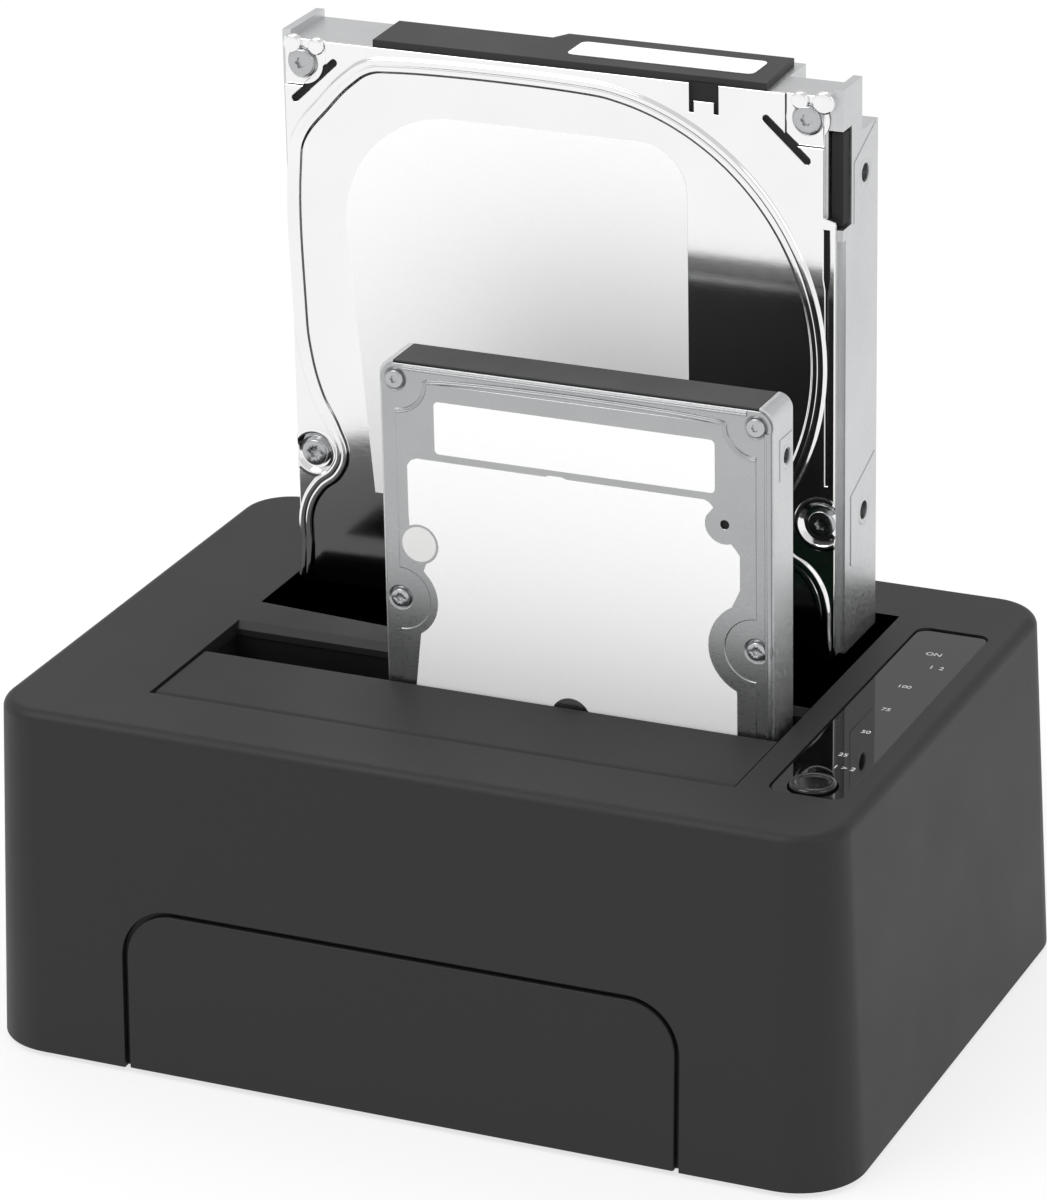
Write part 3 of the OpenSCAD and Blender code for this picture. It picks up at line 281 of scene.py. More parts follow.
def startTree(name, inputs):
    tree = bpy.data.node_groups.new(name, "GeometryNodeTree")
    tree.interface.new_socket(name="Geometry", in_out="INPUT", socket_type="NodeSocketGeometry")
    for label, kind in inputs.items():
        tree.interface.new_socket(name=label, in_out="INPUT", socket_type="NodeSocket" + kind)
    tree.interface.new_socket(name="Geometry", in_out="OUTPUT", socket_type="NodeSocketGeometry")
    return tree, addNode(tree, "NodeGroupInput").outputs


def endTree(tree, shape, finish):
    real = addNode(tree, "GeometryNodeRealizeInstances", {0: shape})
    done = addNode(tree, "GeometryNodeSetMaterial", {"Geometry": real.outputs[0], "Material": finish})
    addNode(tree, "NodeGroupOutput", {0: done.outputs[0]})
    return tree


# Runs a tree on a source object and keeps the result as a plain mesh
def grow(name, source, tree, **values):
    modifier = source.modifiers.new("grow", "NODES")
    modifier.node_group = tree
    for item in tree.interface.items_tree:
        if item.in_out == "INPUT" and item.name in values:
            modifier[item.identifier] = values[item.name]
    return plainMesh(source, name)


def spotsObject(name, spots):
    mesh = bpy.data.meshes.new(name)
    mesh.from_pydata([Vector(s) for s in spots], [], [])
    return linkPiece(name, mesh)


# One small shape at every spot
def makeSpotTree():
    tree, given = startTree("shapeOnSpots", {"Shape": "Object", "Turn": "Rotation", "Finish": "Material"})
    info = addNode(tree, "GeometryNodeObjectInfo", {"Object": given["Shape"]})
    placed = addNode(tree, "GeometryNodeInstanceOnPoints", {
        "Points": given["Geometry"], "Instance": info.outputs["Geometry"], "Rotation": given["Turn"]})
    return endTree(tree, placed.outputs[0], given["Finish"])


# Left half of a bead's section, as shares of its width and height; the right half mirrors it
beadRise = ((0.04, 0.12), (0.15, 0.86), (0.22, 1.0), (0.42, 0.98), (0.5, 0.8))


# A pressed bead along a flat path: rises, dips in the middle and falls again
def makeBeadTree():
    tree, given = startTree("pressedBead", {"Width": "Float", "Height": "Float", "Finish": "Material"})
    line = addNode(tree, "GeometryNodeCurvePrimitiveLine", {"Start": (-0.5, 0, 0), "End": (0.5, 0, 0)})
    fine = addNode(tree, "GeometryNodeResampleCurve", {"Curve": line.outputs[0], "Count": 31})
    along = addNode(tree, "GeometryNodeSplineParameter").outputs["Factor"]
    across = addNode(tree, "ShaderNodeMath", {0: along, 1: 0.5}, operation="SUBTRACT")
    side = addNode(tree, "ShaderNodeMath", {0: across.outputs[0], 1: given["Width"]}, operation="MULTIPLY")
    rise = addNode(tree, "ShaderNodeFloatCurve", {"Value": along})
    points = rise.mapping.curves[0].points
    for spot in beadRise:
        points.new(*spot)
        if spot[0] < 0.5:
            points.new(1 - spot[0], spot[1])
    points[0].location = (0, 0)
    points[-1].location = (1, 0)
    for point in points:
        point.handle_type = "AUTO_CLAMPED"
    rise.mapping.update()
    lift = addNode(tree, "ShaderNodeMath", {0: rise.outputs[0], 1: given["Height"]}, operation="MULTIPLY")
    spot = addNode(tree, "ShaderNodeCombineXYZ", {"X": side.outputs[0], "Y": lift.outputs[0]})
    shaped = addNode(tree, "GeometryNodeSetPosition", {
        "Geometry": fine.outputs[0], "Position": spot.outputs[0]})
    closed = addNode(tree, "GeometryNodeSetSplineCyclic", {"Geometry": shaped.outputs[0], "Cyclic": True})
    even = addNode(tree, "GeometryNodeResampleCurve", {"Curve": given["Geometry"], "Length": 0.5 * mm},
                   mode="LENGTH")
    flat = addNode(tree, "GeometryNodeSetCurveNormal", {"Curve": even.outputs[0]}, mode="Z_UP")
    swept = addNode(tree, "GeometryNodeCurveToMesh", {
        "Curve": flat.outputs[0], "Profile Curve": closed.outputs[0], "Fill Caps": True})
    return endTree(tree, swept.outputs[0], given["Finish"])


# A closing spring: coils round the hinge line, along X
def makeCoilTree():
    tree, given = startTree("closingSpring", {
        "Turns": "Float", "Radius": "Float", "Length": "Float", "Wire": "Float", "Finish": "Material"})
    coil = addNode(tree, "GeometryNodeCurveSpiral", {
        "Resolution": 20, "Rotations": given["Turns"], "Start Radius": given["Radius"],
        "End Radius": given["Radius"], "Height": given["Length"]})
    wire = addNode(tree, "GeometryNodeCurvePrimitiveCircle", {"Resolution": 8, "Radius": given["Wire"]})
    swept = addNode(tree, "GeometryNodeCurveToMesh", {
        "Curve": coil.outputs[0], "Profile Curve": wire.outputs[0], "Fill Caps": True})
    return endTree(tree, swept.outputs[0], given["Finish"])


spotTree = makeSpotTree()
beadTree = makeBeadTree()
coilTree = makeCoilTree()


# The same small mesh at many spots, as one plain mesh
def repeated(name, shapeMesh, spots, material, turn=(0, 0, 0)):
    shape = bpy.data.objects.new(name + "_shape", shapeMesh)
    mesh = grow(name, spotsObject(name + "_spots", spots), spotTree, Shape=shape, Turn=turn, Finish=material)
    bpy.data.objects.remove(shape)
    return mesh


# A bead along a smooth line through the given points; finish is the material's place in the piece's list
def beadMesh(name, path, width, height, material, closed=True, finish=0):
    curve = bpy.data.curves.new(name, "CURVE")
    curve.dimensions = "3D"
    curve.resolution_u = 16
    spline = curve.splines.new("BEZIER")
    spline.bezier_points.add(len(path) - 1)
    for point, spot in zip(spline.bezier_points, path):
        point.co = (spot[0] * mm, spot[1] * mm, 0)
        point.handle_left_type = point.handle_right_type = "AUTO"
    spline.use_cyclic_u = closed
    source = bpy.data.objects.new(name + "_path", curve)
    scene.collection.objects.link(source)
    mesh = grow(name, source, beadTree, Width=width * mm, Height=height * mm, Finish=material)
    shape = bmesh.new()
    shape.from_mesh(mesh)
    if sum(v.co.z for v in shape.verts) < 0:
        bmesh.ops.scale(shape, vec=(1, 1, -1), verts=shape.verts)
    bmesh.ops.remove_doubles(shape, verts=shape.verts, dist=0.001 * mm)
    bmesh.ops.recalc_face_normals(shape, faces=shape.faces)
    shape.to_mesh(mesh)
    shape.free()
    mesh.polygons.foreach_set("material_index", [finish] * len(mesh.polygons))
    smoothBy(mesh, smoothing["bead"])
    return mesh


# Camera, at the photo's angle
view = {"azimuth": 24.208, "elevation": 22.489, "roll": -1.155, "pixels": 5604.3,
        "away": 0.9504, "target": (-0.000375, 0.0, 0.072652), "pictureHeight": 1200, "sensor": 36.0,
        "nearest": 0.05, "farthest": 50}


def makeCamera():
    az, el, roll = (math.radians(view[k]) for k in ("azimuth", "elevation", "roll"))
    back = Vector((math.sin(az) * math.cos(el), -math.cos(az) * math.cos(el), math.sin(el)))
    right = (-back).cross(Vector((0, 0, 1))).normalized()
    up = right.cross(-back)
    turnedRight = right * math.cos(roll) + up * math.sin(roll)
    turnedUp = up * math.cos(roll) - right * math.sin(roll)
    lens = bpy.data.cameras.new("photoCamera")
    lens.sensor_width = view["sensor"]
    lens.lens = view["pixels"] * view["sensor"] / view["pictureHeight"]
    lens.clip_start = view["nearest"]
    lens.clip_end = view["farthest"]
    camera = bpy.data.objects.new("photoCamera", lens)
    spot = Vector(view["target"]) + back * view["away"]
    axes = Matrix((turnedRight, turnedUp, back)).transposed().to_4x4()
    camera.matrix_world = Matrix.Translation(spot) @ axes
    scene.collection.objects.link(camera)
    scene.camera = camera


makeCamera()
print("camera set")


# Floor, background and soft studio light. The floor and the world look white to the camera and in
# reflections; the world's reflection darkens upwards, as a studio's ceiling does.
studio = {"floorSize": 6.0, "floorGlow": 0.72, "fill": 0.86, "ceiling": 0.72,
          "whiteBelow": 4.0, "darkAbove": 18.0, "aim": (0, 0, 0.06),
          "lamps": [("keyLamp", (-0.7, -0.9, 1.5), 12.0, 1.1),
                    ("sideLamp", (1.3, -0.3, 0.9), 3.0, 0.9),
                    ("backLamp", (-0.2, 0.8, 1.8), 5.0, 0.9)]}


# One where a ray shows its target to the eye: straight, mirrored or through glass
def shownRay(tree):
    path = addNode(tree, "ShaderNodeLightPath").outputs
    seen = addNode(tree, "ShaderNodeMath", {0: path["Is Camera Ray"], 1: path["Is Glossy Ray"]},
                   operation="MAXIMUM")
    return addNode(tree, "ShaderNodeMath", {0: seen.outputs[0], 1: path["Is Transmission Ray"]},
                   operation="MAXIMUM").outputs[0]


def makeFloor():
    half = studio["floorSize"] / 2
    corners = [(-half, -half, 0), (half, -half, 0), (half, half, 0), (-half, half, 0)]
    mesh = bpy.data.meshes.new("floor")
    mesh.from_pydata(corners, [], [(0, 1, 2, 3)])
    material, tree, shader, coord = startMaterial("matt_backdrop_paper", {
        "Roughness": 0.9, "Specular IOR Level": 0.1})
    mottle(tree, shader, noise(tree, coord, 4, 3.0), "#f0f0f0", "#f4f4f4")
    glow = addNode(tree, "ShaderNodeEmission", {"Color": (1, 1, 1, 1), "Strength": 1.0})
    share = addNode(tree, "ShaderNodeMath", {0: shownRay(tree), 1: studio["floorGlow"]}, operation="MULTIPLY")
    mix = addNode(tree, "ShaderNodeMixShader", {
        0: share.outputs[0], 1: shader.outputs[0], 2: glow.outputs[0]})
    tree.links.new(mix.outputs[0], tree.nodes["Material Output"].inputs["Surface"])
    linkPiece("floor", mesh, material)


def makeStudio():
    makeFloor()
    world = bpy.data.worlds.new("studioWorld")
    scene.world = world
    world.use_nodes = True
    tree = world.node_tree
    fill = addNode(tree, "ShaderNodeBackground", {"Color": (1, 1, 1, 1), "Strength": studio["fill"]})
    ray = addNode(tree, "ShaderNodeSeparateXYZ", {0: addNode(tree, "ShaderNodeTexCoord").outputs["Object"]})
    bright = addNode(tree, "ShaderNodeMapRange", {
        "Value": ray.outputs["Z"], "From Min": math.sin(math.radians(studio["whiteBelow"])),
        "From Max": math.sin(math.radians(studio["darkAbove"])), "To Min": 1.0, "To Max": studio["ceiling"]},
        interpolation_type="SMOOTHSTEP")
    white = addNode(tree, "ShaderNodeBackground", {"Color": (1, 1, 1, 1), "Strength": bright.outputs[0]})
    mix = addNode(tree, "ShaderNodeMixShader", {0: shownRay(tree), 1: fill.outputs[0], 2: white.outputs[0]})
    tree.links.new(mix.outputs[0], tree.nodes["World Output"].inputs["Surface"])
    for name, spot, power, size in studio["lamps"]:
        lamp = bpy.data.lights.new(name, "AREA")
        lamp.energy = power
        lamp.size = size
        holder = bpy.data.objects.new(name, lamp)
        holder.location = spot
        holder.rotation_euler = (Vector(studio["aim"]) - Vector(spot)).to_track_quat("-Z", "Y").to_euler()
        scene.collection.objects.link(holder)


makeStudio()
print("studio set")


# Materials

# Moulded plastics: an eroded mould leaves a fine grain, hands and wiping leave faint cloudy gloss
def mouldedPlastic(name, dark, light, rough, roughSpan, grainSize, grainDepth, specular=0.5):
    material, tree, shader, coord = startMaterial(name, {"IOR": 1.5, "Specular IOR Level": specular})
    cloud = noise(tree, coord, 26, 4.0)
    mottle(tree, shader, cloud, dark, light)
    unevenGloss(tree, shader, cloud, rough, roughSpan)
    relief(tree, shader, noise(tree, coord, grainSize, 2.0), 0.35, grainDepth)
    return material


# Metals: rolling or casting leaves a grain, stretched along X where it was rolled
def workedMetal(name, dark, light, rough, roughSpan, grainSize, grainDepth, stretch=1.0):
    material, tree, shader, coord = startMaterial(name, {"Metallic": 1.0})
    rolled = addNode(tree, "ShaderNodeMapping", {"Vector": coord, "Scale": (1 / stretch, 1, 1)})
    grain = noise(tree, rolled.outputs[0], grainSize, 3.0)
    mottle(tree, shader, noise(tree, coord, 14, 3.0), dark, light)
    unevenGloss(tree, shader, grain, rough, roughSpan)
    relief(tree, shader, grain, 0.25, grainDepth)
    return material


# Paper labels: fibres make a very slight mottle
def labelPaper(name, dark, light, rough):
    material, tree, shader, coord = startMaterial(name, {"IOR": 1.45, "Roughness": rough})
    fibre = noise(tree, coord, 0.5, 4.0)
    mottle(tree, shader, fibre, dark, light)
    relief(tree, shader, fibre, 0.12, 0.02)
    return material


# Solder resist over copper: lighter lines show where the tracks run
def circuitBoard(name):
    material, tree, shader, coord = startMaterial(name, {"IOR": 1.5, "Roughness": 0.32})
    tracks = addNode(tree, "ShaderNodeTexBrick", {
        "Vector": coord, "Scale": 1 / (6 * mm), "Mortar Size": 0.06, "Color1": toLinear("#0b1510"),
        "Color2": toLinear("#0d1a13"), "Mortar": toLinear("#1a2f23"), "Brick Width": 0.9, "Row Height": 0.27})
    tree.links.new(tracks.outputs["Color"], shader.inputs["Base Color"])
    relief(tree, shader, tracks.outputs["Fac"], 0.3, 0.03)
    return material


# Clear acrylic: polished, passes light, with faint flow lines
def clearAcrylic(name):
    material, tree, shader, coord = startMaterial(name, {
        "IOR": 1.49, "Transmission Weight": 0.9, "Base Color": toLinear("#e9eef2")})
    flow = noise(tree, coord, 3, 2.0)
    gloss = addNode(tree, "ShaderNodeMapRange", {"Value": flow, "To Min": 0.08, "To Max": 0.2})
    tree.links.new(gloss.outputs[0], shader.inputs["Roughness"])
    return material


# Each with its dark and light tone, roughness and its span, grain size and depth in millimetres
housingAbs = mouldedPlastic("moulded_abs_satin", "#19191a", "#1e1e1f", 0.54, 0.03, 0.35, 0.05, 0.38)
panelAbs = mouldedPlastic("moulded_abs_panel", "#19191a", "#1e1e1f", 0.55, 0.03, 0.35, 0.05, 0.38)
doorAbs = mouldedPlastic("moulded_abs_door", "#161617", "#1b1b1b", 0.52, 0.04, 0.35, 0.05, 0.38)
linerAbs = mouldedPlastic("moulded_abs_liner", "#0c0c0d", "#111112", 0.5, 0.04, 0.4, 0.05)
baseAbs = mouldedPlastic("moulded_abs_base", "#131314", "#18181a", 0.55, 0.04, 0.5, 0.08)
glossAcrylic = mouldedPlastic("polished_black_acrylic", "#060607", "#09090a", 0.035, 0.01, 6.0, 0.0002)
buttonAbs = mouldedPlastic("polished_black_abs", "#0a0a0b", "#0e0e0f", 0.14, 0.03, 1.2, 0.006)
blackNylon = mouldedPlastic("moulded_black_nylon", "#0e0e0e", "#151515", 0.48, 0.05, 0.5, 0.06)
blackFilm = mouldedPlastic("black_polyester_film", "#101010", "#161616", 0.5, 0.05, 0.6, 0.04)
rubber = mouldedPlastic("moulded_black_rubber", "#111111", "#191919", 0.8, 0.06, 0.5, 0.1)
chipResin = mouldedPlastic("moulded_chip_resin", "#131313", "#1b1b1b", 0.6, 0.05, 0.3, 0.05)
zincSteel = workedMetal("zinc_plated_steel", "#9a9ca0", "#b8babd", 0.3, 0.06, 0.6, 0.02)
pinSteel = workedMetal("drawn_steel_pin", "#8e9094", "#a9abae", 0.25, 0.05, 0.4, 0.01, 12.0)
screwSteel = workedMetal("machined_screw_steel", "#a8a9ab", "#c4c5c7", 0.22, 0.05, 0.5, 0.01)
platedSteel = workedMetal("nickel_plated_sheet", "#b4b3ae", "#c9c8c3", 0.18, 0.04, 0.8, 0.01, 8.0)
brassContact = workedMetal("turned_brass", "#b89a52", "#cdb06a", 0.22, 0.05, 0.4, 0.01)
castAluminium = workedMetal("cast_aluminium", "#c4c5c6", "#d4d5d6", 0.36, 0.07, 0.7, 0.06)
pressedSteel = workedMetal("pressed_stainless_sheet", "#ececec", "#f4f4f4", 0.11, 0.02, 0.3, 0.005, 9.0)
pressedAluminium = workedMetal("pressed_aluminium_sheet", "#a6a7a8", "#b6b7b8", 0.3, 0.04, 0.35, 0.02, 2.0)
# Lighter aluminium for the small drive's lid ridges: a painted highlight
highlightEdge = workedMetal("aluminium_painted_highlight_edge", "#e6e6e7", "#f2f2f2", 0.2, 0.03, 0.35, 0.01, 4.0)
whitePaper = labelPaper("white_label_paper", "#f5f5f5", "#fafafa", 0.45)
sealPaper = labelPaper("foil_backed_seal", "#dfdfde", "#e8e8e7", 0.35)
whiteInk = labelPaper("printed_white_ink", "#c9c9c8", "#dededd", 0.5)
board = circuitBoard("solder_resist_board")
acrylic = clearAcrylic("clear_acrylic_guide")
print("materials made:", len(bpy.data.materials))

nodeFinish = {
    "switch_plunger": blackNylon, "switch_body": blackNylon, "indicator_board": board,
    "indicator_lights": acrylic, "light_guides": acrylic, "indicator_screws": zincSteel,
    "main_board": board, "board_chips": chipResin, "board_capacitors": chipResin, "board_screws": zincSteel,
    "front_socket": blackNylon, "rear_socket": blackNylon, "usb_shell": platedSteel, "usb_tongue": blackNylon,
    "dc_jack": blackNylon, "dc_pin": brassContact, "front_door_pins": pinSteel, "rear_door_pins": pinSteel,
    "large_drive_board": board, "small_drive_board": board, "large_drive_plug": blackNylon,
    "small_drive_plug": blackNylon, "base_screws": zincSteel, "base_plate": baseAbs}
for nodeName, finish in nodeFinish.items():
    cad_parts[nodeName].data.materials.clear()
    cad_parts[nodeName].data.materials.append(finish)


# Solids with rounded edges: node, piece, edge radius, finish, body and slot
roundedSolids = [
    ("housing", "housing_shell", 0.35, housingAbs, "dock", "housing_abs"),
    ("front_panel", "front_panel_face", 0.3, panelAbs, "dock", "panel_abs"),
    ("front_bay_liner", "front_bay_well", 0.25, linerAbs, "dock", "liner_abs"),
    ("rear_bay_liner", "rear_bay_well", 0.25, linerAbs, "dock", "liner_abs"),
    ("front_door", "front_door_leaf", 0.3, doorAbs, "front_door", "door_abs"),
    ("rear_door", "rear_door_leaf", 0.3, doorAbs, "rear_door", "door_abs"),
    ("control_strip", "control_strip_plate", 0.2, glossAcrylic, "dock", "gloss_acrylic"),
    ("copy_button", "copy_button_cap", 0.1, buttonAbs, "copy_button", "button_plastic"),
    ("rubber_feet", "rubber_foot_pads", 0.25, rubber, "dock", "rubber"),
    ("power_switch_frame", "power_switch_bezel", 0.3, blackNylon, "dock", "black_nylon"),
    ("power_rocker", "power_rocker_cap", 0.3, buttonAbs, "power_rocker", "button_plastic"),
    ("large_drive_base", "large_drive_casting", 0.45, castAluminium, "large_drive", "cast_aluminium"),
    ("small_drive_base", "small_drive_casting", 0.3, castAluminium, "small_drive", "cast_aluminium"),
    ("small_drive_end_cap", "small_drive_end_film", 0.2, blackFilm, "small_drive", "black_film")]
for node, name, radius, finish, body, slot in roundedSolids:
    settle(linkPiece(name, roundedCopy(node, name, radius), finish), body, slot, node)
print("rounded solids made")


# Where the drives' own drawings start: left side, front face, plug end
def driveCorner(kind):
    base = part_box(kind + "_drive_base")[0]
    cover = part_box(kind + "_drive_cover")[0]
    return Vector((base.x, cover.y, base.z))


largeAt = driveCorner("large")
smallAt = driveCorner("small")


# A screw with a six-lobe recess, its head standing up from z 0
def lobedScrew(name, headR, headH, recessR):
    rim = headH * 0.3
    rings = [(headR, 0), (headR, headH - rim), (headR - rim * 0.4, headH - rim * 0.3), (headR - rim, headH),
             (recessR * 1.12, headH, 0), (recessR, headH - 0.03, recessR * 0.14),
             (recessR * 0.94, headH * 0.25, recessR * 0.13), (0, headH * 0.15)]
    return turned(name, rings, 48)


# Large drive, in millimetres from its left side and its plug end; depths are behind the bead's top.
# The bead's line was traced: up the left side round the middle screw, round the discs, down the right.
# Each dish has a radius, the height of its lip and a depth.
largeDrive = {
    "width": 101.6, "front": 0.5, "back": 1.5,
    "left": 0.6, "right": 100.6, "low": 1.0, "top": 145.8,
    "bead": {"width": 2.9, "height": 0.46, "discs": (53.3, 98.8, 44.5), "round": (83, -34),
             "up": [(6.0, 9.5), (1.9, 14.0), (1.9, 54.0), (2.2, 60.5), (4.6, 65.0), (7.9, 68.0), (9.2, 71.4),
                    (7.9, 75.8), (4.8, 82.0), (2.6, 91.0), (2.1, 98.0), (2.1, 124.0), (2.9, 128.4),
                    (8.0, 135.1), (12.8, 140.0), (16.3, 142.3), (20.7, 143.0)],
             "down": [(89.2, 69.6), (90.1, 66.4), (92.3, 64.1), (95.2, 62.4), (97.2, 60.0), (98.4, 56.5),
                      (98.6, 52.0), (98.6, 14.0), (94.5, 9.5)]},
    "screws": [(3.9, 141.7), (95.6, 141.7), (3.9, 71.0), (98.2, 71.0), (3.9, 6.0), (97.0, 6.0)],
    "screwHead": (2.4, 0.9, 0.95), "screwDepth": 1.15,
    "dishes": [(2.8, 0.0, 1.0), (2.8, 0.0, 1.0), (3.6, 0.1, 0.5), (3.9, 0.24, 0.5), (3.0, 0.0, 0.5),
               (3.0, 0.0, 0.5)],
    "corners": [{"low": (2.5, 135.3), "high": (9.9, 142.3), "edge": 8.4, "fold": 137.6, "side": 0.6},
                {"low": (6.0, 134.6), "high": (13.2, 141.1), "edge": 9.9, "fold": 137.0, "side": 3.1}],
    "slotHalf": 0.62, "seatDepth": 1.0,
    "lobes": [(2.2, 144.9, 1.6), (6.7, 144.8, 1.5), (94.3, 144.8, 1.5), (98.5, 144.8, 1.9)],
    "clip": {"left": 74.8, "right": 80.0, "leg": 0.8, "deep": 5.0, "tab": 3.0},
    "gap": {"left": 98.6, "right": 99.6, "thin": 0.18, "high": 123.0, "wideTo": 114.5, "low": 78.0},
    # Dark sheets behind the openings, painted shade: how far they reach past them, their rounding, thickness
    # and how far in from the plate's back
    "shadeBacking": {"over": 1.0, "beside": 0.6, "round": 0.4, "thick": 0.14, "inside": 0.1},
    "plug": {"x": (99.2, 101.3), "z": (123.4, 139.6), "depth": (2.3, 5.2), "round": 0.5, "edge": 0.2},
    "label": {"left": 11.4, "leftLow": 15.4, "right": 74.4, "top": 134.7, "low": 65.2, "round": 8.6,
              "curve": 20.5, "thick": 0.12, "depth": 0.44},
    "cap": {"thick": 1.26, "edge": 0.12,
            "line": [(16.9, 1.55), (88.2, 1.55), (87.3, 16.3), (46.6, 16.3), (44.9, 13.3), (16.4, 13.3)]},
    "tag": {"thick": 0.11, "round": 1.2}, "paperEdge": 0.02}


# A cut corner of the cover: down its upright edge, round the black slot and out along the fold
def cornerCut(corner, top, half):
    low, high = Vector(corner["low"]), Vector(corner["high"])
    along = (high - low).normalized()
    start = low + Vector((-along.y, along.x)) * half
    turn = math.degrees(math.atan2(along.y, along.x)) + 90
    upper = start + along * ((corner["edge"] - start.x) / along.x)
    lower = start + along * ((corner["fold"] - start.y) / along.y)
    line = [(corner["edge"], top), tuple(upper)] + arc(high.x, high.y, half, turn, turn - 180, 8)
    line += arc(low.x, low.y, half, turn - 180, turn - 360, 8)
    return line + [tuple(lower), (corner["side"], corner["fold"])], upper, lower


# The sunk seat that the corner's screw stands on, beyond the slot
def cornerSeat(corner, upper, lower, top, gap=0.12):
    return [(corner["side"], corner["fold"] + gap), (lower.x - gap, corner["fold"] + gap),
            (corner["edge"] - gap, upper.y + gap), (corner["edge"] - gap, top), (corner["side"], top)]


def mirrored(points, width):
    return [(width - x, z) for x, z in reversed(points)]


def edgeBite(x, z, radius, edge):
    angle = math.degrees(math.acos((edge - x) / radius))
    return arc(x, z, radius, 360 - angle, angle, 24) if edge > x else arc(x, z, radius, angle, -angle, 24)


# A dished screw seat: a cone down to its floor, and a lip where one is given
def screwDish(radius, lip, floor=0.55, ringWide=0.75, bore=0.9, back=0.3):
    outer = radius + ringWide + 0.25
    rings = [(bore, -floor), (radius - 0.75, -floor), (radius - 0.6, -floor + 0.06),
             (radius - 0.08, -0.06), (radius, 0)]
    if lip:
        rings += [(radius + 0.12, lip * 0.7), (radius + ringWide * 0.45, lip), (radius + ringWide, lip * 0.6)]
    rings += [(outer, -0.02), (outer, -back), (bore, -floor - back)]
    return turned("dish", rings, 64)


def placed(mesh, x, z, corner, depth):
    mesh.transform(Matrix.Translation((x * mm, z * mm, 0)))
    return standUp(mesh, corner, depth)


# The cut for the bent clip in the cover's upper edge, from right to left
def clipCut(clip, top):
    deep, tab = top - clip["deep"], top - clip["tab"]
    legRight, legLeft = clip["right"] - clip["leg"], clip["left"] + clip["leg"]
    return [(clip["right"], top), (clip["right"], deep), (legRight, deep), (legRight, tab),
            (legLeft, tab), (legLeft, deep), (clip["left"], deep), (clip["left"], top)]


# The gap along the cover's right side, which narrows to a crack
def sideGap(gap):
    crack = (gap["left"] + gap["right"]) / 2
    near, far, bend = crack - gap["thin"], crack + gap["thin"], gap["wideTo"] - 2
    return [(gap["left"], gap["wideTo"]), (near, bend), (near, gap["low"]), (far, gap["low"]), (far, bend),
            (gap["right"], gap["wideTo"]), (gap["right"], gap["high"]), (gap["left"], gap["high"])]


def makeLargeCover():
    d = largeDrive
    w, top, left, right, gap = d["width"], d["top"], d["left"], d["right"], d["gap"]
    leftCorner, rightCorner = d["corners"]
    leftCut, leftUpper, leftLower = cornerCut(leftCorner, top, d["slotHalf"])
    rightCut, rightUpper, rightLower = cornerCut(rightCorner, top, d["slotHalf"])
    dishes = list(zip(d["screws"], d["dishes"]))
    (lx, lz), (lr, _, _) = dishes[2]
    (rx, rz), (rr, _, _) = dishes[3]
    outline = [(left, d["low"]), (right, d["low"])] + edgeBite(rx, rz, rr, right)
    outline += [(right, gap["high"] + 1.6), (w - rightCorner["side"], gap["high"] + 2.2)]
    outline += mirrored(rightCut, w) + clipCut(d["clip"], top) + leftCut + edgeBite(lx, lz, lr, left)
    holes = [sideGap(gap)] + [circle(x, z, r, 30) for (x, z), (r, _, _) in dishes[4:]]
    plate = flatPlate("cover_plate", [outline] + holes, d["back"] - d["front"], 0.2, 2)
    parts = [standUp(plate, largeAt, (d["front"] + d["back"]) / 2)]
    cx, cz, radius = d["bead"]["discs"]
    line = d["bead"]["up"] + arc(cx, cz, radius, *d["bead"]["round"], 24) + d["bead"]["down"]
    bead = beadMesh("cover_bead", line, d["bead"]["width"], d["bead"]["height"], pressedSteel)
    parts.append(standUp(bead, largeAt, d["front"]))
    seats = [cornerSeat(leftCorner, leftUpper, leftLower, top),
             mirrored(cornerSeat(rightCorner, rightUpper, rightLower, top), w)]
    for seat, ((x, z), (r, _, depth)) in zip(seats, dishes):
        plate = flatPlate("seat_plate", [seat, circle(x, z, r, 30)], d["back"] - depth, 0.15, 2)
        parts.append(standUp(plate, largeAt, (d["back"] + depth) / 2))
    for (x, z), (r, lip, depth) in dishes:
        dish = placed(screwDish(r, lip), x, z, largeAt, depth)
        dish = trimSide(trimSide(dish, largeAt.x + right * mm, True), largeAt.x + left * mm, False)
        parts.append(dish)
    for x, z, r in d["lobes"]:
        lobe = turned("lobe", [(r, -0.4), (r, 0.55), (r - 0.12, 0.72), (r - 0.4, 0.8), (0, 0.82)], 40)
        parts.append(placed(lobe, x, z, largeAt, d["seatDepth"] + 0.1))
    piece = linkPiece("large_drive_lid", joinMeshes("large_drive_lid", parts), pressedSteel)
    settle(piece, "large_drive", "pressed_steel", "large_drive_cover")


# Dark strip behind a slot: painted shade for the slot's depth
def capsuleShadeBack(corner, mirrorWidth, wide=1.5):
    (x0, z0), (x1, z1) = corner["low"], corner["high"]
    turn = math.degrees(math.atan2(z1 - z0, x1 - x0)) + 90
    line = arc(x0, z0, wide, turn, turn + 180, 8) + arc(x1, z1, wide, turn + 180, turn + 360, 8)
    return mirrored(line, mirrorWidth) if mirrorWidth else line
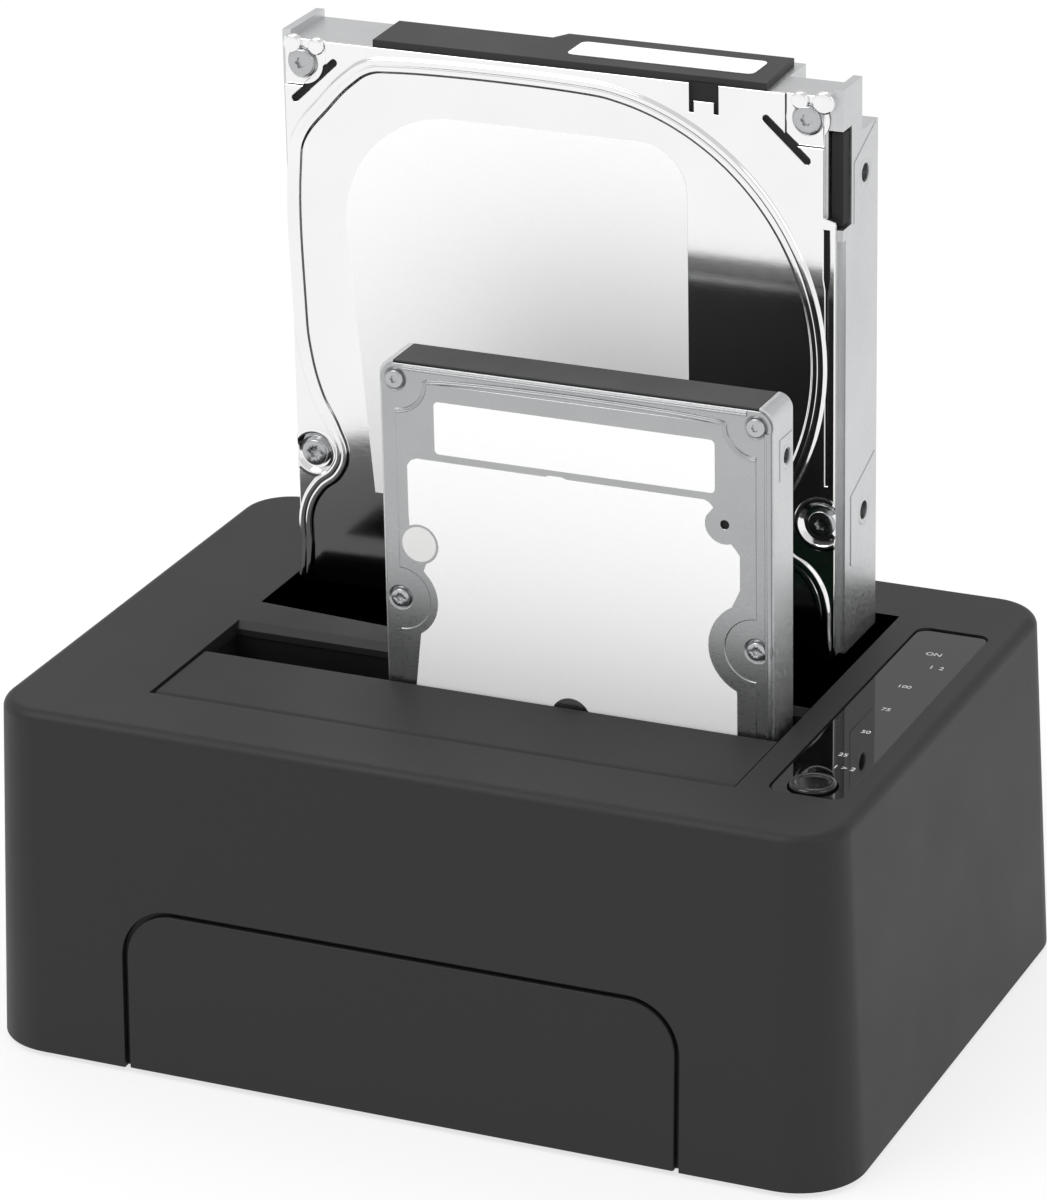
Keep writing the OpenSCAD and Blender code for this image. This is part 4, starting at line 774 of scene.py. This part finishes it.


# Dark sheets behind the cover's slots, clip and side gap, painted shade for the depth of those openings, and
# the plug in the drive's side
def makeLargeShadeBacksAndPlug():
    d = largeDrive
    b, clip, gap, plug = (d[k] for k in ("shadeBacking", "clip", "gap", "plug"))
    over, beside, top = b["over"], b["beside"], d["top"]
    shadeBacks = [capsuleShadeBack(c, d["width"] if k else 0) for k, c in enumerate(d["corners"])]
    clipLow, gapLow, gapHigh = top - clip["deep"] - over, gap["low"] - over, gap["high"] + over
    shadeBacks.append(roundedBox(clip["left"] - over, clipLow, clip["right"] + over, top, b["round"]))
    shadeBacks.append(roundedBox(gap["left"] - beside, gapLow, gap["right"] + beside, gapHigh, b["round"]))
    meshes = [standUp(flatPlate("dark_back", [back], b["thick"]), largeAt, d["back"] - b["inside"])
              for back in shadeBacks]
    (x0, x1), (z0, z1), (near, far) = plug["x"], plug["z"], plug["depth"]
    body = flatPlate("plug_block", [roundedBox(x0, z0, x1, z1, plug["round"])], far - near, plug["edge"], 2)
    meshes.append(standUp(body, largeAt, (near + far) / 2))
    settle(linkPiece("large_drive_gasket", joinMeshes("large_drive_gasket", meshes), rubber),
           "large_drive", "black_film")


# A plate on the drive's upper end, at the height of the node that it replaces
def makeEndPlate(name, outline, thick, edge, finish, slot, node):
    low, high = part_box(node)
    mesh = flatPlate(name, [outline], thick, edge)
    mesh.transform(Matrix.Translation((largeAt.x, largeAt.y, (low.z + high.z) / 2)))
    settle(linkPiece(name, mesh, finish), "large_drive", slot, node)


def makeLargeLabels():
    d, cap, tag, edge = (largeDrive[k] for k in ("label", "cap", "tag", "paperEdge"))
    r, curve = d["round"], d["curve"]
    outline = [(d["leftLow"], d["low"]), (d["right"], d["low"])]
    outline += arc(d["right"] - r, d["top"] - r, r, 0, 90, 14)
    outline += arc(d["left"] + curve, d["top"] - curve, curve, 90, 180, 20)
    mesh = flatPlate("large_drive_front_label", [outline], d["thick"], edge)
    piece = linkPiece("large_drive_front_label", standUp(mesh, largeAt, d["depth"]), whitePaper)
    settle(piece, "large_drive", "label_paper", "large_drive_label")
    makeEndPlate("large_drive_end_film", cap["line"], cap["thick"], cap["edge"], blackFilm, "black_film",
                 "large_drive_end_cap")
    low, high = ((corner - largeAt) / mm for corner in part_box("large_drive_end_label"))
    tagLine = roundedBox(low.x, low.y, high.x, high.y, tag["round"])
    makeEndPlate("large_drive_end_tag", tagLine, tag["thick"], edge, whitePaper, "label_paper",
                 "large_drive_end_label")


# Machined rims round the side holes and the raised pads that they are drilled in
drivePads = {
    "large": {"holes": [28.5, 70.1, 130.1], "back": 6.35, "hole": 1.65, "rim": 2.7, "thick": 0.14,
              "pads": [(5.6, 16.9, 62.0, 74.6, 79.0), (6.6, 16.9, 122.6, 133.2, 137.6)]},
    "small": {"holes": [14.0, 90.6], "back": 3.0, "hole": 1.5, "rim": 2.3, "thick": 0.16,
              "pads": [(3.6, 9.0, 10.4, 17.6, 17.6), (3.6, 9.0, 87.0, 94.2, 94.2)]}}


def makePads(kind):
    d = drivePads[kind]
    low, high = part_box(kind + "_drive_base")
    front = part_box(kind + "_drive_cover")[0].y
    parts = []
    for x, side in ((low.x, -1), (high.x, 1)):
        turn = Matrix.Rotation(side * math.pi / 2, 4, "Y")
        for z in d["holes"]:
            rim = turned("rim", [(d["hole"], -0.3), (d["hole"], d["thick"]), (d["rim"] - 0.1, d["thick"]),
                                 (d["rim"], d["thick"] - 0.08), (d["rim"], -0.3)], 40, hollow=True)
            rim.transform(Matrix.Translation((x, high.y - d["back"] * mm, low.z + z * mm)) @ turn)
            parts.append(rim)
        for near, far, zLow, zNear, zFar in d["pads"]:
            hole = [z for z in d["holes"] if zLow < z < zFar][0]
            ring = circle(high.y / mm - front / mm - d["back"], hole, d["hole"] + 0.3, 30)
            outline = [(near, zLow), (far, zLow), (far, zFar), (near, zNear)]
            pad = flatPlate("pad", [outline, ring], d["thick"] * 1.6)
            stand = Matrix(((0, 0, 1, 0), (1, 0, 0, 0), (0, 1, 0, 0), (0, 0, 0, 1)))
            pad.transform(Matrix.Translation((x, front, low.z)) @ stand)
            parts.append(pad)
    name = kind + "_drive_side_pads"
    settle(linkPiece(name, joinMeshes(name, parts), castAluminium), kind + "_drive", "cast_aluminium")


def makeScrews(kind, corner, drive):
    name = kind + "_drive_lid_screws"
    screw = lobedScrew(kind + "_screw", *drive["screwHead"])
    places = [corner + Vector((x * mm, drive["screwDepth"] * mm, z * mm)) for x, z in drive["screws"]]
    mesh = repeated(name, screw, places, screwSteel, (math.pi / 2, 0, 0))
    smoothBy(mesh, smoothing["turned"])
    settle(linkPiece(name, mesh, screwSteel), kind + "_drive", "screw_steel", kind + "_drive_screws")


makeLargeCover()
makeLargeShadeBacksAndPlug()
makeLargeLabels()
makePads("large")
makeScrews("large", largeAt, largeDrive)
print("large drive dressed")


# Small drive: a pressed field that is held back round the screws, with thin ridges in a lighter aluminium, a
# painted highlight, along the field's upper rim, the top edge and the right edge
smallDrive = {
    "width": 69.85, "length": 100.3, "front": 0.35, "margin": 0.56, "back": 1.0, "corner": 2.5, "inset": 0.4,
    "screws": [(2.9, 97.1), (66.95, 97.1), (2.9, 58.1), (66.95, 58.1), (2.9, 4.0), (66.95, 4.0)],
    "screwHead": (1.6, 0.6, 0.62), "screwDepth": 0.72, "dish": 2.1, "hold": 5.5,
    "ridge": (0.9, 0.3), "seal": (6.7, 68.3, 3.1), "breather": (61.5, 79.6, 0.75), "hub": (33.8, 41.0, 3.6)}


def makeSmallCover():
    d = smallDrive
    w, h, hold = d["width"], d["length"], d["hold"]
    x0, x1 = d["screws"][0][0], d["screws"][1][0]
    z0, z1, z2 = (d["screws"][k][1] for k in (4, 2, 0))
    bx, bz, br = d["breather"]
    breather = circle(bx, bz, br, 24)
    holes = [circle(x, z, d["dish"], 24) for x, z in d["screws"]] + [breather]
    inset = d["inset"]
    outline = roundedBox(inset, inset, w - inset, h - inset, d["corner"], 10)
    plate = flatPlate("cover_plate", [outline] + holes, d["back"] - d["margin"], 0.16, 2)
    parts = [standUp(plate, smallAt, (d["back"] + d["margin"]) / 2)]
    upper = arc(x1, z2, hold, 270, 180, 10) + arc(x0, z2, hold, 0, -90, 10)
    field = arc(x1, z0, hold, 180, 90, 10) + arc(x1, z1, hold, 270, 90, 20) + upper
    field += arc(x0, z1, hold, 90, -90, 20) + arc(x0, z0, hold, 90, 0, 10)
    raised = flatPlate("cover_field", [field, breather], d["back"] - d["front"], 0.16, 2)
    parts.append(standUp(raised, smallAt, (d["back"] + d["front"]) / 2))
    # Ridges along the field's upper rim, the top edge and the right edge; their faces take the lighter
    # aluminium, a painted highlight
    wide, high = d["ridge"]
    lines = [upper, [(4.5, h - 1.0), (w / 2, h - 1.0), (w - 4.5, h - 1.0)],
             [(w - 1.0, 8.0), (w - 1.0, h / 2), (w - 1.0, h - 4.0)]]
    for line in lines:
        ridge = beadMesh("ridge", line, wide, high, highlightEdge, False, 1)
        parts.append(standUp(ridge, smallAt, d["margin"] - 0.02))
    for x, z in d["screws"]:
        parts.append(placed(screwDish(d["dish"], 0.0, 0.3, 0.3), x, z, smallAt, d["margin"]))
    lid = joinMeshes("small_drive_lid", parts)
    piece = linkPiece("small_drive_lid", lid, pressedAluminium, highlightEdge)
    settle(piece, "small_drive", "pressed_aluminium", "small_drive_cover")
    filterDisc = turned("filter", [(br + 0.6, 0), (br + 0.6, 0.1), (0, 0.1)], 24)
    placed(filterDisc, bx, bz, smallAt, d["back"])
    settle(linkPiece("small_drive_breather", filterDisc, rubber), "small_drive", "black_film")


def makeSmallLabels():
    d = smallDrive
    sx, sz, sr = d["seal"]
    bx, bz, _ = d["breather"]
    (lx, lz), (rx, rz) = d["screws"][2:4]
    outline = [(4.6, 34.3), (63.6, 34.3), (63.6, 49.8)]
    outline += arc(rx, rz, 8.4, 246, 120, 16)
    outline += [(64.2, 68.5), (64.2, 74.5), (63.4, 75.6)]
    outline += arc(bx, bz, 3.4, 290, 160, 10)
    outline += [(59.6, 82.4), (58.9, 83.2), (58.0, 83.6), (33.6, 83.6), (32.8, 83.9), (30.6, 83.9)]
    outline += [(29.8, 83.6), (6.6, 83.6), (5.6, 83.2), (4.9, 82.2), (4.9, 73.6)]
    outline += arc(sx, sz, sr + 0.45, 118, -70, 14)
    outline += [(7.4, 63.6)]
    outline += arc(lx, lz, 7.0, 45, -58, 14)
    hub = circle(*d["hub"], 30)
    depth = (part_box("small_drive_label")[0].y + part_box("small_drive_label")[1].y) / 2
    atLabel = Vector((smallAt.x, depth, smallAt.z))
    top = roundedBox(10.0, 84.9, 59.9, 94.1, 0.8)
    seal = circle(sx, sz, sr, 45)
    for name, lines, finish, slot, node in (
            ("small_drive_front_label", [outline, hub], whitePaper, "label_paper", "small_drive_label"),
            ("small_drive_upper_label", [top], whitePaper, "label_paper", "small_drive_top_label"),
            ("small_drive_round_seal", [seal], sealPaper, "seal_paper", "small_drive_seal")):
        mesh = standUp(flatPlate(name, lines, 0.12, 0.02), atLabel)
        settle(linkPiece(name, mesh, finish), "small_drive", slot, node)


makeSmallCover()
makeSmallLabels()
makePads("small")
makeScrews("small", smallAt, smallDrive)
print("small drive dressed")


# Parts on the drives' circuit boards, seen from behind: middle x and z on the board, width, height,
# thickness and legs at each of two sides. Small parts are strewn where no chip stands.
boardParts = {
    "large": {"chips": [(24, 56, 15, 15, 1.2, 13), (58, 30, 11, 8.5, 1.0, 9), (72, 62, 9, 7, 0.9, 8),
                        (44, 66, 8, 8, 0.9, 6), (82, 22, 5, 10, 1.1, 4)],
              "small": 70, "seed": 4, "hub": (53.3, 101.0, 9.0), "film": None},
    "small": {"chips": [(18, 30, 11, 11, 0.8, 10), (40, 20, 8, 6, 0.7, 7), (50, 36, 6, 6, 0.7, 5)],
              "small": 40, "seed": 9, "hub": None, "film": (2.0, 56.5, 67.8, 98.6)}}


def faceBack(mesh, x, y, z):
    turn = Matrix(((-1, 0, 0, 0), (0, 0, 1, 0), (0, 1, 0, 0), (0, 0, 0, 1)))
    mesh.transform(Matrix.Translation((x, y, z)) @ turn)
    return mesh


def plainBlock(name, wide, high, thick, edge):
    outline = roundedBox(-wide / 2, -high / 2, wide / 2, high / 2, min(wide, high) * 0.08, 3)
    return flatPlate(name, [outline], thick, edge)


def makeBoardParts(kind):
    d = boardParts[kind]
    body = kind + "_drive"
    low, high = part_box(body + "_board")
    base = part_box(body + "_base")
    boardWide, boardHigh = (high.x - low.x) / mm, (high.z - low.z) / mm
    chips, legSpots, smallSpots = [], [], []
    for x, z, wide, tall, thick, legs in d["chips"]:
        chip = plainBlock("chip", wide, tall, thick, 0.12)
        chips.append(faceBack(chip, high.x - x * mm, high.y + thick / 2 * mm, low.z + z * mm))
        for k in range(legs):
            side = (k + 0.5) / legs * wide - wide / 2
            for end in (-1, 1):
                legZ = z + end * (tall / 2 + 0.35)
                legSpots.append((high.x - (x + side) * mm, high.y + 0.1 * mm, low.z + legZ * mm))
    strew = np.random.default_rng(d["seed"])
    while len(smallSpots) < d["small"]:
        x, z = strew.uniform(4, boardWide - 4), strew.uniform(4, boardHigh - 4)
        clear = all(abs(x - c[0]) > c[2] / 2 + 2 or abs(z - c[1]) > c[3] / 2 + 2.4 for c in d["chips"])
        if clear and all(math.dist((x, z), s) > 2.6 for s in smallSpots):
            smallSpots.append((x, z))
    settle(linkPiece(body + "_chips", joinMeshes(body + "_chips", chips), chipResin), body, "chip_resin")
    partSpots = [(high.x - x * mm, high.y + 0.25 * mm, low.z + z * mm) for x, z in smallSpots]
    for name, shape, spots, finish, slot in (
            ("_chip_legs", plainBlock("leg", 0.35, 0.9, 0.18, 0.04), legSpots, zincSteel, "zinc_steel"),
            ("_small_parts", plainBlock("part", 1.6, 0.9, 0.5, 0.06), partSpots, chipResin, "chip_resin")):
        mesh = repeated(body + name, shape, spots, finish, (math.pi / 2, 0, math.pi))
        settle(linkPiece(body + name, mesh, finish), body, slot)
    if d["hub"]:
        x, z, r = d["hub"]
        rings = [(r, -0.3), (r, 0.12), (r - 0.3, 0.2), (r - 1.6, 0.2), (r - 1.9, 0.02), (r * 0.5, 0.02),
                 (r * 0.47, 0.16), (r * 0.2, 0.2), (0, 0.2)]
        hub = faceBack(turned("hub", rings, 72), base[0].x + x * mm, base[1].y, base[0].z + z * mm)
        settle(linkPiece(body + "_motor_hub", hub, zincSteel), body, "zinc_steel")
    if d["film"]:
        film = flatPlate("film", [roundedBox(*d["film"], 2.0)], 0.16, 0.03)
        faceBack(film, base[1].x, base[1].y + 0.06 * mm, base[0].z)
        settle(linkPiece(body + "_back_film", film, blackFilm), body, "black_film")


makeBoardParts("large")
makeBoardParts("small")
print("boards dressed")


# Bar and ring on the two faces of the power rocker, in white ink
rockerMarks = {"bar": (0.5, 2.4), "ring": (1.15, 0.75), "round": 0.2, "ink": 0.05, "facing": 0.85}


def makeRockerMarks():
    d = rockerMarks
    faces = {}
    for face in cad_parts["power_rocker"].data.polygons:
        if face.normal.y > d["facing"]:
            key = tuple(round(c, 2) for c in face.normal)
            faces.setdefault(key, []).append(face)
    flats = sorted(faces.values(), key=lambda group: -sum(f.area for f in group))[:2]
    wide, tall = d["bar"]
    bar = roundedBox(-wide / 2, -tall / 2, wide / 2, tall / 2, d["round"])
    rings = [circle(0, 0, r, 36) for r in d["ring"]]
    meshes = []
    for lines, group in zip(([bar], rings), flats):
        area = sum(f.area for f in group)
        middle = sum((f.center * f.area for f in group), Vector()) / area
        normal = group[0].normal.normalized()
        up = (Vector((0, 0, 1)) - normal * normal.z).normalized()
        axes = Matrix((up.cross(normal), up, normal)).transposed().to_4x4()
        mark = flatPlate("mark", lines, d["ink"])
        mark.transform(Matrix.Translation(middle) @ axes)
        meshes.append(mark)
    settle(linkPiece("power_rocker_marks", joinMeshes("power_rocker_marks", meshes), whiteInk),
           "power_rocker", "label_paper")


makeRockerMarks()
print("rocker marked")


# Closing springs on the door hinges
springs = {"turns": 9.0, "radius": 0.98, "wire": 0.12, "length": 4.4, "endGap": 0.15}


def makeSprings(door):
    low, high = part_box(door + "_springs")
    middleY, middleZ = (low.y + high.y) / 2, (low.z + high.z) / 2
    parts = []
    for start in (low.x + springs["endGap"] * mm, high.x - (springs["length"] + springs["endGap"]) * mm):
        mesh = grow("coil", spotsObject("coil_source", [(0, 0, 0)]), coilTree, Turns=springs["turns"],
                    Radius=springs["radius"] * mm, Length=springs["length"] * mm, Wire=springs["wire"] * mm,
                    Finish=pinSteel)
        mesh.transform(Matrix.Translation((start, middleY, middleZ)) @ Matrix.Rotation(math.pi / 2, 4, "Y"))
        parts.append(mesh)
    joined = joinMeshes(door + "_coils", parts)
    smoothBy(joined, smoothing["coil"])
    settle(linkPiece(door + "_coils", joined, pinSteel), door, "pin_steel", door + "_springs")


makeSprings("front_door")
makeSprings("rear_door")
print("springs wound")


# Marks on the control strip: plain numbers and words, white ink
strip = {"marks": [("ON", 64.5, 24.9, 1.3), ("1", 66.0, 19.6, 1.3), ("2", 67.8, 19.6, 1.3),
                   ("100", 64.6, 10.2, 1.2), ("75", 65.05, 0.2, 1.2), ("50", 65.2, -9.7, 1.2),
                   ("25", 65.0, -19.6, 1.2), ("1 > 2", 67.0, -24.5, 1.3)],
         "ink": 0.03, "fontScale": 1.4}


def markMesh(text, x, y, tall, z):
    curve = bpy.data.curves.new("mark", "FONT")
    curve.body = text
    curve.size = tall * strip["fontScale"] * mm
    curve.align_x = "CENTER"
    curve.align_y = "CENTER"
    curve.extrude = strip["ink"] / 2 * mm
    source = bpy.data.objects.new("mark_source", curve)
    scene.collection.objects.link(source)
    mesh = plainMesh(source, "mark")
    mesh.transform(Matrix.Translation((x * mm, y * mm, z)))
    return mesh


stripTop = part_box("control_strip")[1].z
inkMiddle = stripTop + strip["ink"] / 2 * mm
marks = joinMeshes("strip_marks", [markMesh(*mark, inkMiddle) for mark in strip["marks"]])
settle(linkPiece("strip_marks", marks, whiteInk), "dock", "label_paper")
print("strip marked")
